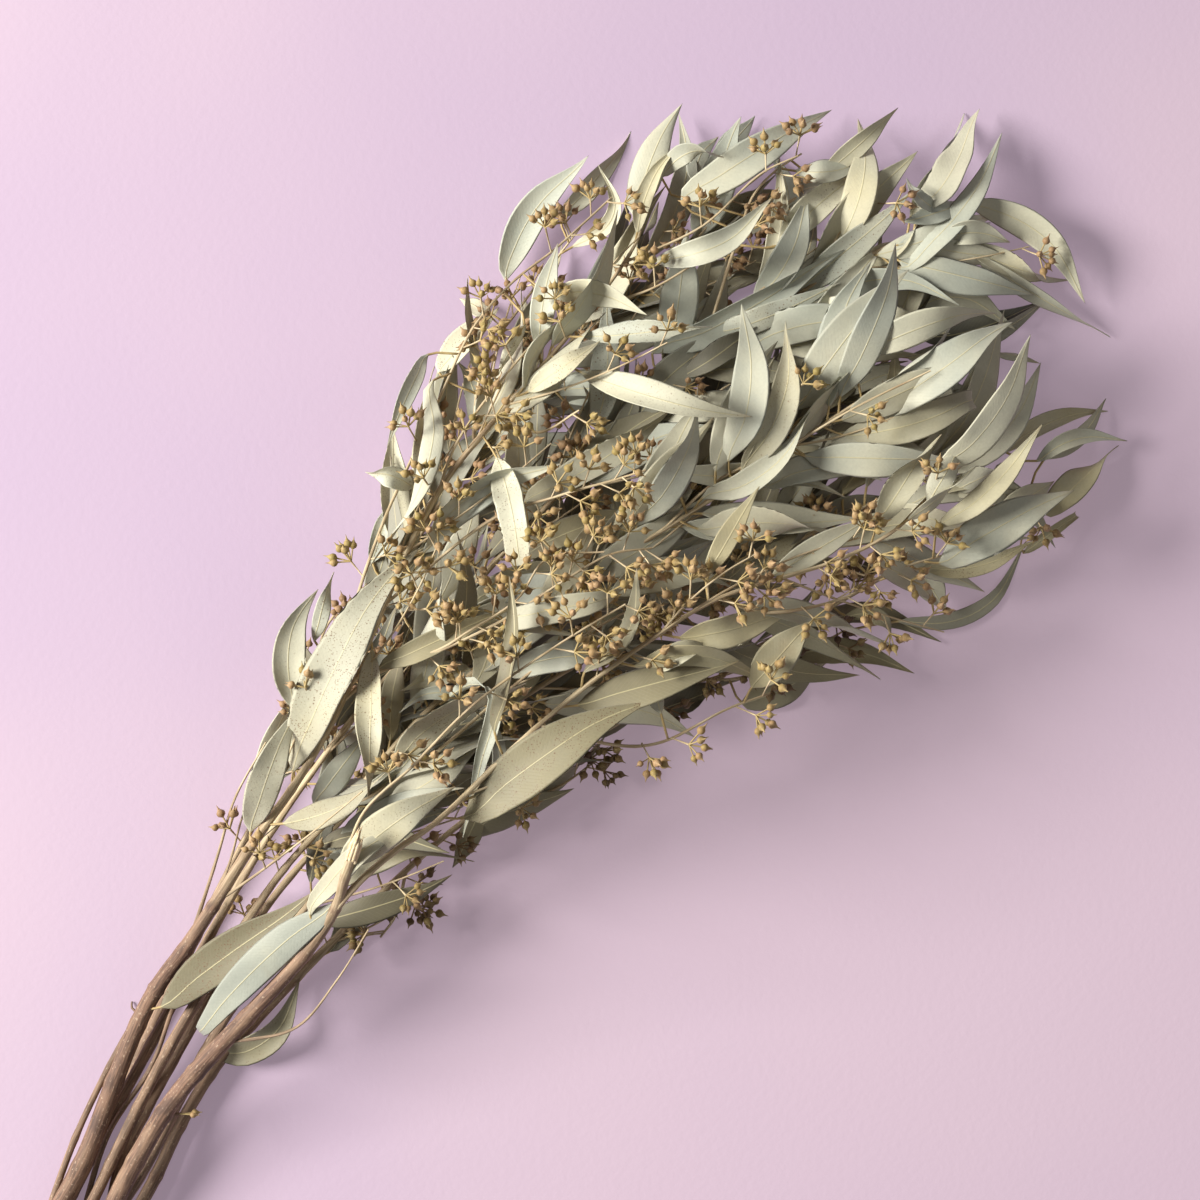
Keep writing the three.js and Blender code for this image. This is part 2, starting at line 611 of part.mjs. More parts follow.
// Lays one stem over the sheet and returns the faces of each piece that grows on it.
function grow(stem, index, sheet) {
  const draw = stream(index + 1);
  const rest = index < ON_TABLE ? REST_CUT : 0;
  const layStem = (p, t, radius) =>
    sheet(p.x, p.y) + mix(radius * FLAT - rest, STEM_LOFT, foliageShare(p.x));
  const woods = [woodAlong(stem.stem, stem.radius, STEM_STEP, STEM_SIDES, layStem)];
  if (stem.branch) woods.push(woodAlong(stem.branch, BRANCH_R, STEM_STEP, STEM_SIDES, layStem));
  const mainWoods = woods.slice();
  for (const route of stem.twigs) {
    const fork = nearestWood(mainWoods, place(route[0]));
    const layTwig = (p, t) => sheet(p.x, p.y) + mix(STEM_LOFT, stem.loft * 0.6, smooth(t));
    const wood = woodAlong(route, TWIG_R, TWIG_STEP, TWIG_SIDES, layTwig);
    wood.points[0] = fork;
    woods.push(wood);
  }

  const layer = new Float64Array(COLUMNS * ROWS);
  for (const face of woods.flatMap(woodFaces)) cover(layer, face);
  const leaves = [...stem.leaves, ...fillLeaves(stem, draw)].map((row, i) => {
    const rests = index < ON_TABLE && i % 3 === 0;
    const leaf = leafShape(row, woods, sheet, layer, stem.loft, rests, draw);
    const faces = leafFaces(leaf);
    for (const face of faces) cover(layer, face);
    return faces;
  });

  const bearers = woods.slice(mainWoods.length).map((wood) => ({ wood, from: 0.15, to: 1 }));
  bearers.push({ wood: mainWoods.at(-1), from: stem.fruit[0], to: stem.fruit[1] });
  const umbels = bearers.flatMap(({ wood, from, to }) => {
    const gaps = wood.points.slice(1).map((p, i) => p.distanceTo(wood.points[i]));
    const length = gaps.reduce((sum, gap) => sum + gap, 0) * (to - from);
    const count = Math.max(1, Math.round(length / UMBEL_STEP));
    return Array.from({ length: count }, (_, i) => {
      const share = Math.min(0.99, mix(from, to, (i + 0.9) / count));
      return umbelFaces(umbelShape(wood, share, i % 2 ? 1 : -1, sheet, layer, draw));
    });
  });
  return [...woods.map(woodFaces), ...leaves, ...umbels];
}

function solidOf(faces) {
  const geometry = new THREE.BufferGeometry().setFromPoints(faces.flat());
  const merged = mergeVertices(geometry, 1e-4);
  return new wasm.Manifold(
    new wasm.Mesh({
      numProp: 3,
      vertProperties: merged.attributes.position.array,
      triVerts: new Uint32Array(merged.index.array),
    }),
  );
}

// Fuses the pieces of one stem, and cuts it level where it rests.
function fused(pieces) {
  const joined = wasm.Manifold.union(pieces.map(solidOf));
  return joined.trimByPlane([0, 0, 1], 0).asOriginal().simplify(SLIVER);
}

function meshOf(name, solid) {
  const { vertProperties, triVerts } = solid.getMesh();
  const geometry = new THREE.BufferGeometry();
  geometry.setAttribute("position", new THREE.BufferAttribute(vertProperties, 3));
  geometry.setIndex(new THREE.BufferAttribute(triVerts, 1));
  geometry.computeVertexNormals();
  const material = new THREE.MeshStandardMaterial({ color: FOLIAGE, roughness: 0.8, metalness: 0 });
  const mesh = new THREE.Mesh(geometry, material);
  mesh.name = name;
  return mesh;
}

// The longest move, in halving steps, for which free still holds.
function farthest(step, least, free) {
  let move = 0;
  while (free(move + step)) move += step;
  for (let part = step / 2; part > least; part /= 2) {
    if (free(move + part)) move += part;
  }
  return move;
}

// A fall of the whole stem, and a tilt about the point at x that lowers its cut end.
function settling(fall, tilt, x) {
  return new THREE.Matrix4().set(1, 0, 0, 0, 0, 1, 0, 0, tilt, 0, 1, -fall - tilt * x, 0, 0, 0, 1);
}

// Lowers a stem until it touches the pile or the table, and then lets its heavier side down.
function settled(solid, pile) {
  const moved = (fall, tilt, x) => solid.transform(settling(fall, tilt, x).elements);
  const free = (fall, tilt, x) => {
    const lower = moved(fall, tilt, x);
    return lower.boundingBox().min[2] > 0 && lower.intersect(pile).isEmpty();
  };
  const fall = farthest(DROP_STEP, 0.02, (drop) => free(drop - RAISED, 0, 0)) - RAISED;
  const lower = moved(fall + DROP_STEP, 0, 0);
  const onPile = lower.intersect(pile);
  const touching = onPile.isEmpty() ? lower.trimByPlane([0, 0, -1], 0) : onPile;
  const { min, max } = touching.boundingBox();
  const contact = (min[0] + max[0]) / 2;
  const side = contact > 0 ? 1 : -1; // the bunch's weight lies about over x = 0
  const sinks = (tilt) => tilt < MOST_TILT && free(fall, side * tilt, contact);
  const tilt = side * farthest(TILT_STEP, 1e-4, sinks);
  return settling(fall - SEAT_GAP, tilt, contact);
}

const bunch = new THREE.Group();
bunch.position.set(...CENTRING, 0);
const height = new Float64Array(COLUMNS * ROWS);
let pile = null;
STEMS.forEach((stem, index) => {
  const pieces = grow(stem, index, sheetOver(height));
  const loose = fused(pieces);
  const move = index < ON_TABLE ? new THREE.Matrix4() : settled(loose, pile);
  const solid = loose.transform(move.elements);
  for (const face of pieces.flat()) cover(height, face.map((p) => p.clone().applyMatrix4(move)));
  pile = pile ? pile.add(solid) : solid;
  bunch.add(meshOf(stem.name, solid));
});

export default bunch;
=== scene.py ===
"""A bunch of dried, seeded eucalyptus, laid on a pale surface and seen from straight above.

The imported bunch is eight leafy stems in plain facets. This script lays the same stems by the same
rules, and then gives each one fine leaves, wood and gum nuts in place of its facets.
Lengths in the rules are millimetres and angles are radians, and the meshes are in metres.
A pair of numbers is a span that values are drawn from, unless its comment says otherwise.
"""

import math

import bpy
import numpy as np
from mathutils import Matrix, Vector, kdtree


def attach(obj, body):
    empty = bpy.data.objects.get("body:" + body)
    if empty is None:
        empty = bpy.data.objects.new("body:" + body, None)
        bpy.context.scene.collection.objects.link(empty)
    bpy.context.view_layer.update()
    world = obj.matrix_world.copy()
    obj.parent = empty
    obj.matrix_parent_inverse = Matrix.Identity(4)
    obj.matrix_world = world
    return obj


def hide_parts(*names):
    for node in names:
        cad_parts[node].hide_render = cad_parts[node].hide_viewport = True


MM = 0.001

# The plan: x to the right and y up, from the corner of the 600 mm square seen from above
PLAN_TURN = -math.pi / 4
PLAN_CENTRE = (250, 256)
CENTRING = (7.4, -8.8)
VIEW_CENTRE = (300, 300)
VIEW_WIDTH = 600
VIEW_HEIGHT = 1400
VIEW_LEVEL = 36

# Coarse wood, as packed: a radius at the root and at the end
STEM_SIDES = 6
TWIG_SIDES = 4
STEM_STEP = 34
TWIG_STEP = 30
BRANCH_R = (2.8, 1.1)
TWIG_R = (1.5, 0.8)
STEM_LOFT = 9
TWIG_LOFT = 0.6
FLAT = math.cos(math.pi / 6)
REST_CUT = 0.3
ON_TABLE = 2
STIFF_PASSES = 4

# Coarse leaves, as packed. Arch is a share of the stem's loft, and bow a share of the leaf's length.
BLADE_STATIONS = (0, 0.24, 0.6, 1)
BLADE_THICK = 1.3
BLADE_FOLD = 0.12
BLADE_SKEW = 0.72
BLADE_FULLNESS = 0.9
LEAF_ARCH = (-0.15, 0.35)
LEAF_ROLL = (-0.45, 0.45)
LEAF_TWIST = (-0.5, 0.5)
LEAST_RISE = 2
WHOLE_LIFT_AT = 0.4
PETIOLE_R = 0.8
PETIOLE_BACK = 7
FILL_SPAN = (0.4, 0.9)
FILL_OUT = (0.35, 0.95)
FILL_START = (8, 20)
FILL_LENGTH = (58, 84)
FILL_WIDTH = (15, 20)
FILL_BOW = (-0.12, 0.02)

# Coarse gum nuts, as packed
NUT_R = 2.6
NUT_LENGTH = 8
NUT_WIDEST = 0.36
PEDICEL = 5.5
PEDUNCLE = 9
PEDUNCLE_OUT = (0.7, 1.2)
PEDUNCLE_SPREAD = (0.8, 1.2)
PEDUNCLE_RISE = 8
HUB_OVER_ROOT = (-3, 4)
STALK_R = 0.75
UMBEL_STEP = 56
UMBEL_ROOM = 11
UMBEL_OVER_LEAF = 5
UMBEL_FAN = (0.75, 1.1)
NUT_ASIDE = (-0.2, 0.2)
NUT_CLIMB = (-0.3, 0.5)
UMBEL_PLACE = 0.9
LAST_UMBEL = 0.99
TWIG_UMBELS_FROM = 0.15

# How one stem lies on the ones beneath it. A sheet is its reach and its blur in cells, and its slope.
CELL = 4
GRID_X = (-400, 400)
GRID_Y = (-184, 184)
CLEAR = 0.6
LOOSE = (3, 2, 0.6)
CLOSE = (2, 1, 1.0)
NECK = (-240, -90)

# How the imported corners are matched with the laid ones
SAME_SPOT = 0.02
ALONE_WITHIN = 0.05
EXACT = 0.01
FITS = 6

# All fine pieces stay this far above the surface
FLOOR_GAP = 0.05

# Fine leaves: the mesh. Places along a blade are shares of its length.
LEAF_CORNERS = 12
LEAF_RINGS = 17
LAST_RING = 0.985
PETIOLE_RINGS = 3
SHORT_PETIOLE = 0.03
LEAF_THICK = 0.4
PETIOLE_HALF = 0.62
OPENED_BY = 0.07
SLIM_FROM = 0.55
TIP_SLIMMER = 0.28
PINCH_FROM = 0.93
TIP_PINCH = 0.6
MIDRIB_RISE = 0.2

# Fine leaves: how they curl across, swirl, wave and hook
LEAF_SEED = 101
WIDE_LEAF = 18
WIDE_LEAF_CALM = 0.3
LEAF_CURL = (-0.5, 0.8)
LEAST_BEND = 1e-3
LEAF_SWIRL = 2.6
SWIRL_FROM = 0.3
LEAF_WAVES = (1.2, 2.6)
WAVE_HEIGHT = (0.03, 0.16)
EDGES_APART = 0.6
LEAF_LEAN = 0.12
LEAF_HOOK = 0.05
HOOK_FROM = 0.65

# Fine leaves that are changed one by one
LIFTED_BY = 0.25
WIDEST_AT = 0.38
BLUNT_WIDTH = 0.94
BLUNT_DROP = 7
CURL_FROM = 0.78

# Smaller leaves by rule: how many grow on each stem, and how many of those are deep in its shade. These
# deep ones are darkened and made more olive with painted shade.
MORE_LEAVES = (12, 60, 64, 40, 44, 30, 14, 12)
DEEP_LEAVES = (12, 60, 64, 32, 30, 16, 4, 4)
MORE_LEAVES_SPAN = (0.34, 0.92)
MORE_LEAVES_OUT = (0.0, 0.9)
MORE_LEAVES_START = (4, 24)
MORE_LEAVES_LENGTH = (42, 84)
MORE_LEAVES_SLIM = (0.16, 0.26)
MORE_LEAVES_BOW = (-0.18, 0.08)
MORE_LEAVES_LOFT = (0.3, 1.0)
MORE_LEAVES_ROLL = 2
MORE_LEAVES_TWIST = 3
DEEP_PAINTED_SHADE = (0.3, 0.75)
DEEP_SHADE_OLIVE = 0.3

# Veins of a leaf: the slope and the step of the side veins, and where the midrib's edge fades
VEIN_SLANT = 1.25
VEIN_STEP = 2.6
MIDRIB_EDGE = (0.16, 0.42)

# Fine wood
WOOD_STEP = 4
SIDES_OF_WOOD = 10
WOOD_SLIMMER = 0.38
KNOT_STEP = 30
KNOT_SPREAD = (0.7, 1.2)
KNOT_REACH = 2.2
KNOT_SWELL = 0.13
UNEVEN = 0.03
CUT_DEPTH = 0.3
WOOD_SEED = 301
BARK_SHIFT = 1000
BARK_FROM = (1.7, 3.8)

# Thin twigs: how many each stem has by rule, and how high the ones at known places end
MORE_TWIGS = (3, 10, 10, 6, 9, 9, 8, 3)
MORE_TWIGS_SPAN = (0.36, 0.86)
MORE_TWIGS_OUT = (0.2, 0.7)
MORE_TWIGS_BACK = (-0.5, -0.1)
MORE_TWIGS_LENGTH = (45, 110)
MORE_TWIGS_LOFT = (0.25, 0.95)
MORE_TWIGS_STEPS = 4
MORE_TWIGS_R = (1.0, 0.55)
NAMED_TWIG_RISE = 20
NAMED_TWIG_TAPER = 0.6

# The snapped end of the broken branch, and the fibres that stand out of it
STUMP_RISE = 12
TORN = 11
TORN_FADE = 5
SPLINTERS = 9
SPLINTER_BACK = (9, 14)
SPLINTER_OFF = (2.4, 2.0)
SPLINTER_REACH = (2, 15)
SPLINTER_SPREAD = (0.4, 2.6)
SPLINTER_R = (1.4, 1.5, 0.12)
SPLINTER_TORN = 40

# Fine gum nuts: each stands on a stalk that ends at its neck, from the umbel's hub
NUT_SEED = 501
NUTS_IN_UMBEL = 7
NUT_SIDES = 6
NUT_RINGS = 8
NUT_NECK = 6.6
NUT_TIP = 13.6
NUT_BALL_R = 2.25
NUT_SIZES = (0.74, 1.04)
NUT_SHARES = (0.45, 1.0)
STALK_SHARES = (0.0, 0.4)
STALK_RINGS = 2
NUT_FIRST_TURN = 6.28
NUT_TURN = 2.4
UMBEL_OPEN = (0.45, 1.45)
UMBEL_FLATTER = (1, 1, 0.4)
UMBEL_LIFT = (0, 0, 0.35)
OFF_AXIS = (0.3, 0.2, 1.0)
SECOND_NUT = (0.3, -0.5, 0.2)
FINE_PEDUNCLE_R = (0.7, 0.55, 0.85)
PEDUNCLE_SAG = 0.12
STALK_SHARE = (0.42, 0.47)
MERGE_M = 0.00002

# More umbels: the steps between them in the heart of the bunch and far from it
MORE_UMBELS_STEP = (10, 22)
UMBELS_UNEVEN = (0.8, 1.3)
FIRST_UMBEL = 4
LOW_NUTS_FROM = 0.3
TWIG_NUTS_FROM = 0.3
NUT_HEART = (262, 345)
NUT_HEART_REACH = (50, 130)
UNDER_LEAF = 9

# The room, in metres and watts. The floor glows with painted light, and painted shade darkens it over a
# span of distance towards the key lamp.
KEY_LAMP = {"place_at": (-1.35, 1.9, 1.6), "width": 1.25, "power": 172, "tint": (1, 0.985, 0.96)}
FILL_LAMP = {"place_at": (0.9, -1.2, 2.0), "width": 1.8, "power": 6, "tint": (1, 1, 1)}
ROOM_LIGHT = 0.15
FLOOR_GLOW = 0.52
FLOOR_HALF = 4
TO_LAMP = (-0.58, 0.81)
FLOOR_PAINTED_SHADE_SPAN = (0.44, 1.3)
FLOOR_PAINTED_SHADE_MOST = 0.9

# Each stem, from the lowest up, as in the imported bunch
STEMS = [
    {
        "name": "sprig_1_lower_right",
        "loft": 15,
        "stem": [[44, -44], [70, 0], [100, 57], [150, 112], [201, 162], [240, 194], [300, 232],
            [350, 260], [410, 292], [450, 315]],
        "radius": [3.6, 1.3],
        "twigs": [
            [[240, 194], [270, 200], [298, 218]],
            [[201, 162], [196, 140], [188, 128]],
            [[350, 260], [380, 262], [424, 284]],
        ],
        "leaves": [
            [372, 248, 419, 272, 17, -0.08], [415, 269, 441, 274, 10, 0.1],
            [425, 292, 451, 276, 9, 0.25], [452, 289, 519, 330, 9, -0.22],
            [461, 317, 476, 294, 15, 0], [239, 192, 225, 163, 12, 0],
            [257, 198, 304, 229, 12, -0.05], [102, 66, 147, 107, 17, -0.2],
        ],
        "fill": 3,
        "fruit": [0.35, 0.95],
    },
    {
        "name": "sprig_2_upper_left",
        "loft": 16,
        "stem": [[4, -42], [32, 0], [70, 80], [115, 170], [160, 255], [200, 320], [235, 375],
            [270, 415], [310, 450], [360, 480], [400, 505]],
        "radius": [3.2, 1.3],
        "twigs": [
            [[235, 375], [240, 420], [260, 450], [290, 490]],
            [[310, 450], [330, 490], [345, 505]],
            [[160, 255], [158, 280], [170, 300]],
        ],
        "leaves": [
            [244, 446, 228, 455, 10, 0], [218, 416, 250, 448, 15, 0.05],
            [243, 382, 256, 428, 17, 0.08], [184, 319, 194, 353, 11, 0],
            [125, 211, 146, 256, 12, 0], [252, 463, 297, 524, 18, 0.12],
            [280, 494, 318, 539, 12, 0], [286, 480, 299, 521, 9, -0.35],
            [361, 515, 381, 547, 15, 0.1], [396, 484, 388, 531, 12, -0.08],
            [350, 512, 361, 535, 11, 0.2], [415, 482, 452, 496, 12, 0],
        ],
        "fill": 8,
        "fruit": [0.5, 0.9],
    },
    {
        "name": "sprig_3_middle",
        "loft": 18,
        "stem": [[66, -46], [52, 0], [88, 75], [135, 150], [200, 220], [260, 280], [330, 340],
            [395, 385], [450, 425], [490, 455]],
        "radius": [3.2, 1.2],
        "twigs": [
            [[395, 385], [430, 390], [462, 384]],
            [[260, 280], [270, 312], [290, 330]],
        ],
        "leaves": [
            [449, 372, 510, 390, 13, 0.1], [448, 437, 512, 435, 17, 0.28],
            [475, 464, 501, 456, 11, 0.1], [424, 404, 466, 416, 11, 0.1],
            [306, 409, 365, 425, 13, -0.14], [317, 397, 374, 412, 12, -0.1],
            [345, 387, 387, 410, 11, 0], [300, 364, 346, 388, 12, -0.05],
        ],
        "fill": 17,
        "fruit": [0.4, 0.75],
    },
    {
        "name": "sprig_4_right",
        "loft": 18,
        "stem": [[20, -50], [62, 0], [105, 80], [160, 155], [225, 225], [300, 275], [380, 320],
            [450, 355], [500, 375]],
        "radius": [3.2, 1.3],
        "twigs": [
            [[450, 355], [490, 352], [524, 344]],
            [[380, 320], [410, 318], [440, 310]],
        ],
        "leaves": [
            [500, 374, 560, 399, 11, 0.06], [524, 371, 559, 404, 9, -0.1],
            [520, 370, 568, 380, 10, 0.14], [477, 372, 514, 385, 11, 0.05],
            [475, 354, 509, 369, 14, 0], [462, 316, 520, 331, 11, -0.1],
            [515, 324, 548, 347, 7, 0], [500, 342, 531, 361, 15, 0],
            [346, 294, 417, 351, 25, 0.02], [524, 344, 563, 381, 16, -0.03],
        ],
        "fill": 14,
        "fruit": [0.45, 0.8],
    },
    {
        "name": "sprig_5_upper",
        "loft": 20,
        "stem": [[14, -44], [32, 0], [78, 85], [130, 175], [185, 250], [240, 310], [300, 375],
            [350, 420], [410, 460], [460, 485], [480, 497]],
        "radius": [3.2, 1.2],
        "twigs": [
            [[350, 420], [368, 478], [380, 508], [402, 526]],
            [[240, 310], [272, 348], [300, 357], [325, 363]],
            [[410, 460], [424, 492], [440, 502]],
        ],
        "leaves": [
            [389, 478, 438, 521, 17, 0.03], [397, 453, 457, 503, 16, 0],
            [400, 425, 443, 481, 15, 0], [399, 517, 435, 524, 13, -0.12],
            [411, 514, 450, 549, 12, -0.04], [471, 496, 487, 550, 12, 0.04],
            [450, 466, 505, 537, 14, -0.07], [480, 498, 451, 488, 11, 0],
            [470, 496, 453, 511, 9, 0.15], [472, 481, 507, 480, 14, 0.1],
            [486, 499, 546, 450, 16, 0.16], [487, 476, 562, 435, 9, -0.03],
            [341, 500, 418, 551, 19, 0], [274, 416, 375, 460, 17, -0.03],
            [326, 423, 421, 478, 18, -0.05], [351, 430, 420, 459, 13, -0.04],
            [331, 513, 362, 521, 11, 0.2],
        ],
        "fill": 14,
        "fruit": [0.42, 0.68],
    },
    {
        "name": "sprig_6_centre",
        "loft": 24,
        "stem": [[26, -36], [45, 0], [85, 78], [138, 160], [175, 200], [220, 250], [280, 295],
            [320, 327], [375, 362], [425, 396], [467, 416]],
        "radius": [3.2, 1.1],
        "twigs": [
            [[165, 190], [215, 222], [260, 260], [290, 282], [322, 299]],
            [[375, 362], [388, 380], [391, 402]],
            [[280, 295], [300, 312], [334, 300]],
        ],
        "leaves": [
            [396, 393, 449, 463, 21, 0.02], [425, 419, 495, 444, 17, 0.02],
            [437, 393, 500, 439, 22, -0.02], [419, 381, 493, 406, 18, -0.08],
            [369, 363, 391, 438, 17, -0.12], [338, 359, 422, 354, 14, 0.04],
            [340, 336, 394, 344, 13, -0.08], [308, 329, 357, 388, 18, 0.02],
            [294, 312, 354, 353, 19, -0.06], [324, 297, 357, 331, 14, 0.08],
            [263, 348, 339, 396, 17, -0.03], [303, 300, 256, 291, 15, -0.04],
            [247, 292, 236, 254, 16, 0.1], [237, 266, 203, 256, 13, -0.05],
            [244, 295, 221, 272, 11, -0.1], [267, 287, 251, 266, 10, -0.1],
            [241, 197, 224, 256, 8, -0.3], [237, 250, 202, 246, 8, -0.2],
            [196, 201, 243, 233, 17, -0.05], [167, 175, 234, 211, 14, 0.08],
            [159, 199, 187, 236, 14, 0],
        ],
        "fill": 10,
        "fruit": [0.38, 0.62],
    },
    {
        "name": "sprig_7_left_edge",
        "loft": 30,
        "stem": [[-4, -46], [31, 0], [60, 70], [76, 103], [100, 136], [129, 180], [165, 232],
            [197, 300], [220, 350], [250, 390], [280, 425], [312, 467], [321, 487]],
        "radius": [5.2, 1.1],
        "twigs": [
            [[165, 232], [175, 275], [192, 330], [215, 385], [242, 442], [280, 477], [306, 502]],
            [[174, 250], [197, 267], [235, 280], [272, 302], [300, 320], [325, 325]],
            [[250, 390], [270, 382], [290, 392]],
        ],
        "leaves": [
            [150, 216, 209, 329, 25, 0.03], [151, 247, 161, 306, 17, 0.12],
            [128, 186, 153, 250, 17, 0], [161, 280, 171, 314, 8, 0],
            [218, 408, 187, 316, 12, 0.13], [215, 421, 196, 374, 9, 0],
            [209, 355, 186, 361, 12, -0.1], [270, 424, 280, 477, 13, 0.04],
            [263, 435, 249, 411, 7, 0], [276, 451, 323, 438, 14, 0.1],
            [265, 402, 301, 425, 12, 0], [291, 411, 373, 386, 15, -0.04],
            [80, 96, 163, 156, 21, 0.02], [327, 468, 384, 500, 15, -0.16],
            [317, 493, 340, 550, 18, 0.04], [250, 369, 261, 316, 15, 0.04],
            [190, 276, 191, 206, 15, 0],
        ],
        "fill": 0,
        "fruit": [0.5, 0.85],
    },
    {
        "name": "sprig_8_broken_branch",
        "loft": 30,
        "stem": [[40, -44], [57, 0], [76, 34], [92, 57], [115, 83], [149, 119], [170, 147],
            [178, 166], [186, 186]],
        "radius": [5, 3.8],
        "branch": [[170, 147], [181, 161], [200, 179], [224, 196], [270, 240], [310, 271],
            [357, 301], [425, 323], [450, 342], [477, 367]],
        "twigs": [
            [[272, 240], [305, 231], [330, 232], [360, 247], [382, 255]],
            [[357, 301], [380, 294], [415, 300], [442, 314], [468, 322]],
        ],
        "leaves": [
            [433, 336, 464, 382, 17, 0], [458, 347, 475, 376, 13, 0],
            [464, 335, 514, 386, 13, -0.06], [465, 318, 532, 355, 22, 0.02],
            [235, 196, 321, 256, 27, 0.03], [338, 282, 393, 297, 17, -0.05],
            [373, 258, 402, 291, 19, 0], [327, 267, 354, 278, 12, 0.1],
            [329, 246, 326, 275, 10, 0.05], [172, 154, 89, 70, 18, -0.04],
            [178, 172, 232, 212, 19, 0.05], [160, 148, 214, 196, 12, 0.1],
        ],
        "fill": 0,
        "fruit": [0.68, 0.95],
    },
]

# By stem: how light, how olive and how often specked its leaves are. The lightness is partly the leaves'
# own tone and partly painted light: stems 2, 5 and 7, at the left and upper left, are made lighter, and 2
# and 5 less olive, where the key lamp falls on them.
LIGHTNESS_AND_PAINTED_LIGHT = [
    (0.6, 0.9), (0.95, 1.3), (0.7, 1.0), (0.75, 1.02), (0.88, 1.2), (0.8, 1.08), (0.95, 1.2), (0.85, 1.05),
]
OLIVE = [0.35, -0.1, 0.1, 0.25, -0.05, 0.05, 0.1, 0.3]
OLIVE_SPAN = (-0.1, 0.7)
SPECKED = [0.3, 0.2, 0.1, 0.1, 0.1, 0.15, 0.5, 0.3]
MANY_SPECKS = (0.5, 1.0)
FEW_SPECKS = 0.1

# By stem: how ripe and how brown its nuts are
RIPE = [0.3, 0.9, 0.6, 0.6, 0.9, 0.4, 0.5, 0.6]
RIPE_SPREAD = 0.3
BROWN_NUTS = (0.75, 0.3, 0.3, 0.2, 0.15, 0.1, 0, 0)
BROWN_SPREAD = (0.5, 1.3)

# Leaves with a look of their own, by stem and place in its list: how light, olive and specked
LOOKS = {
    (6, 0): [0.86, 0.5, 1.0], (6, 2): [0.9, 0.45, 0.8], (6, 1): [1.0, 0.3, 0.3],
    (6, 12): [0.42, 1.1, 1.0], (6, 13): [1.05, 0.2, 0.1], (6, 4): [1.15, 0.25, 0.1],
    (7, 4): [0.56, 1.0, 1.0], (7, 9): [0.8, -0.05, 0.1], (7, 3): [0.95, 0.15, 0.1],
    (0, 7): [0.55, 0.8, 0.5], (3, 8): [0.75, 0.75, 0.9],
}

# Leaves changed one by one, by stem and place: the lift, the roll, how blunt and how far curled under
CHANGED = {
    (6, 0): (7, -0.15, 0, 0), (7, 10): (-12, 0, 0, 0), (7, 11): (-12, 0, 0, 0), (6, 15): (2, 0, 1, 0),
    (7, 9): (4, 0, 0.1, 4.4), (4, 2): (0, 0, 0, 2.4), (5, 3): (0, 0, 0.4, 2.8), (3, 6): (0, 0, 0.5, 3.0),
}

# Leaves that fold or curl back, by stem: width, the blade's turning axis, and x, y and rise in plan
RIBBONS = {
    5: [
        [15, (0.3, 0.95), [310, 305, 30], [300, 300, 34], [280, 296, 36], [262, 292, 35],
            [256, 291, 31], [260, 290, 27], [272, 287, 24], [290, 283, 20]],
        [10, (0.8, -0.6), [226, 252, 26], [234, 258, 34], [243, 260, 40], [250, 254, 40],
            [249, 242, 35], [244, 226, 30], [238, 204, 26], [228, 184, 20]],
    ],
}

# Thin twigs at known places, by stem: the thickness at the root, whether nuts grow on it, x and y
NAMED_TWIGS = {
    5: [
        [1.2, True, [322, 345], [357, 358], [392, 375], [425, 394], [460, 411]],
        [1.5, False, [28, -16], [50, 28], [73, 64], [86, 97], [104, 128]],
    ],
    1: [
        [1.2, False, [81, 112], [98, 148], [106, 172], [115, 200], [131, 228]],
        [1.0, False, [84, 108], [102, 142], [112, 168], [120, 194], [135, 222]],
        [0.8, False, [64, 87], [61, 90], [60, 94]],
    ],
    6: [
        [1.9, False, [8, -16], [37, 34], [66, 89], [92, 122], [107, 150]],
        [1.3, True, [190, 300], [245, 337], [280, 350], [305, 357], [322, 362]],
        [1.2, True, [177, 262], [220, 275], [237, 285], [260, 300], [275, 320], [302, 323]],
        [1.2, True, [220, 350], [232, 380], [262, 420], [300, 460]],
        [1.1, True, [312, 467], [350, 485], [378, 510], [398, 520]],
        [1.1, True, [300, 440], [326, 453], [351, 468], [370, 478]],
    ],
    7: [
        [1.3, True, [160, 160], [187, 197], [212, 222], [242, 252], [282, 280], [312, 298]],
        [1.1, True, [310, 271], [352, 300], [392, 320], [425, 330]],
        [0.9, False, [115, 80], [150, 90], [172, 115], [189, 142]],
    ],
}

# Nuts by themselves low on the stems, by stem: x and y where the stalk starts and where it ends
LONE_NUTS = {7: [[[85, 40], [90, 43]]]}

# Outlines turned on their own axis: the share of the length, and the radius there
NUT_OUTLINE = [
    (0.0, 0.2), (0.06, 0.52), (0.14, 0.84), (0.28, 1.0), (0.4, 0.96),
    (0.52, 0.72), (0.62, 0.3), (0.7, 0.19), (0.86, 0.11), (1.0, 0.0),
]
STALK_OUTLINE = [(0.0, 0.2), (0.5, 0.15), (1.0, 0.18)]


# Arithmetic


def stream(seed):
    """A seeded stream of draws from 0 to 1."""
    state = seed

    def draw():
        nonlocal state
        state = state * 16807 % 2147483647
        return state / 2147483647

    return draw


def mix(a, b, t):
    return a + (b - a) * t


def smooth(t):
    c = np.clip(t, 0, 1)
    return c * c * (3 - 2 * c)


def unit(v):
    return v / max(np.linalg.norm(v), 1e-12)


def place(point):
    """A point of the plan, turned and moved into the part's own frame."""
    dx, dy = point[0] - PLAN_CENTRE[0], point[1] - PLAN_CENTRE[1]
    c, s = math.cos(PLAN_TURN), math.sin(PLAN_TURN)
    return np.array([c * dx - s * dy, s * dx + c * dy, 0.0])


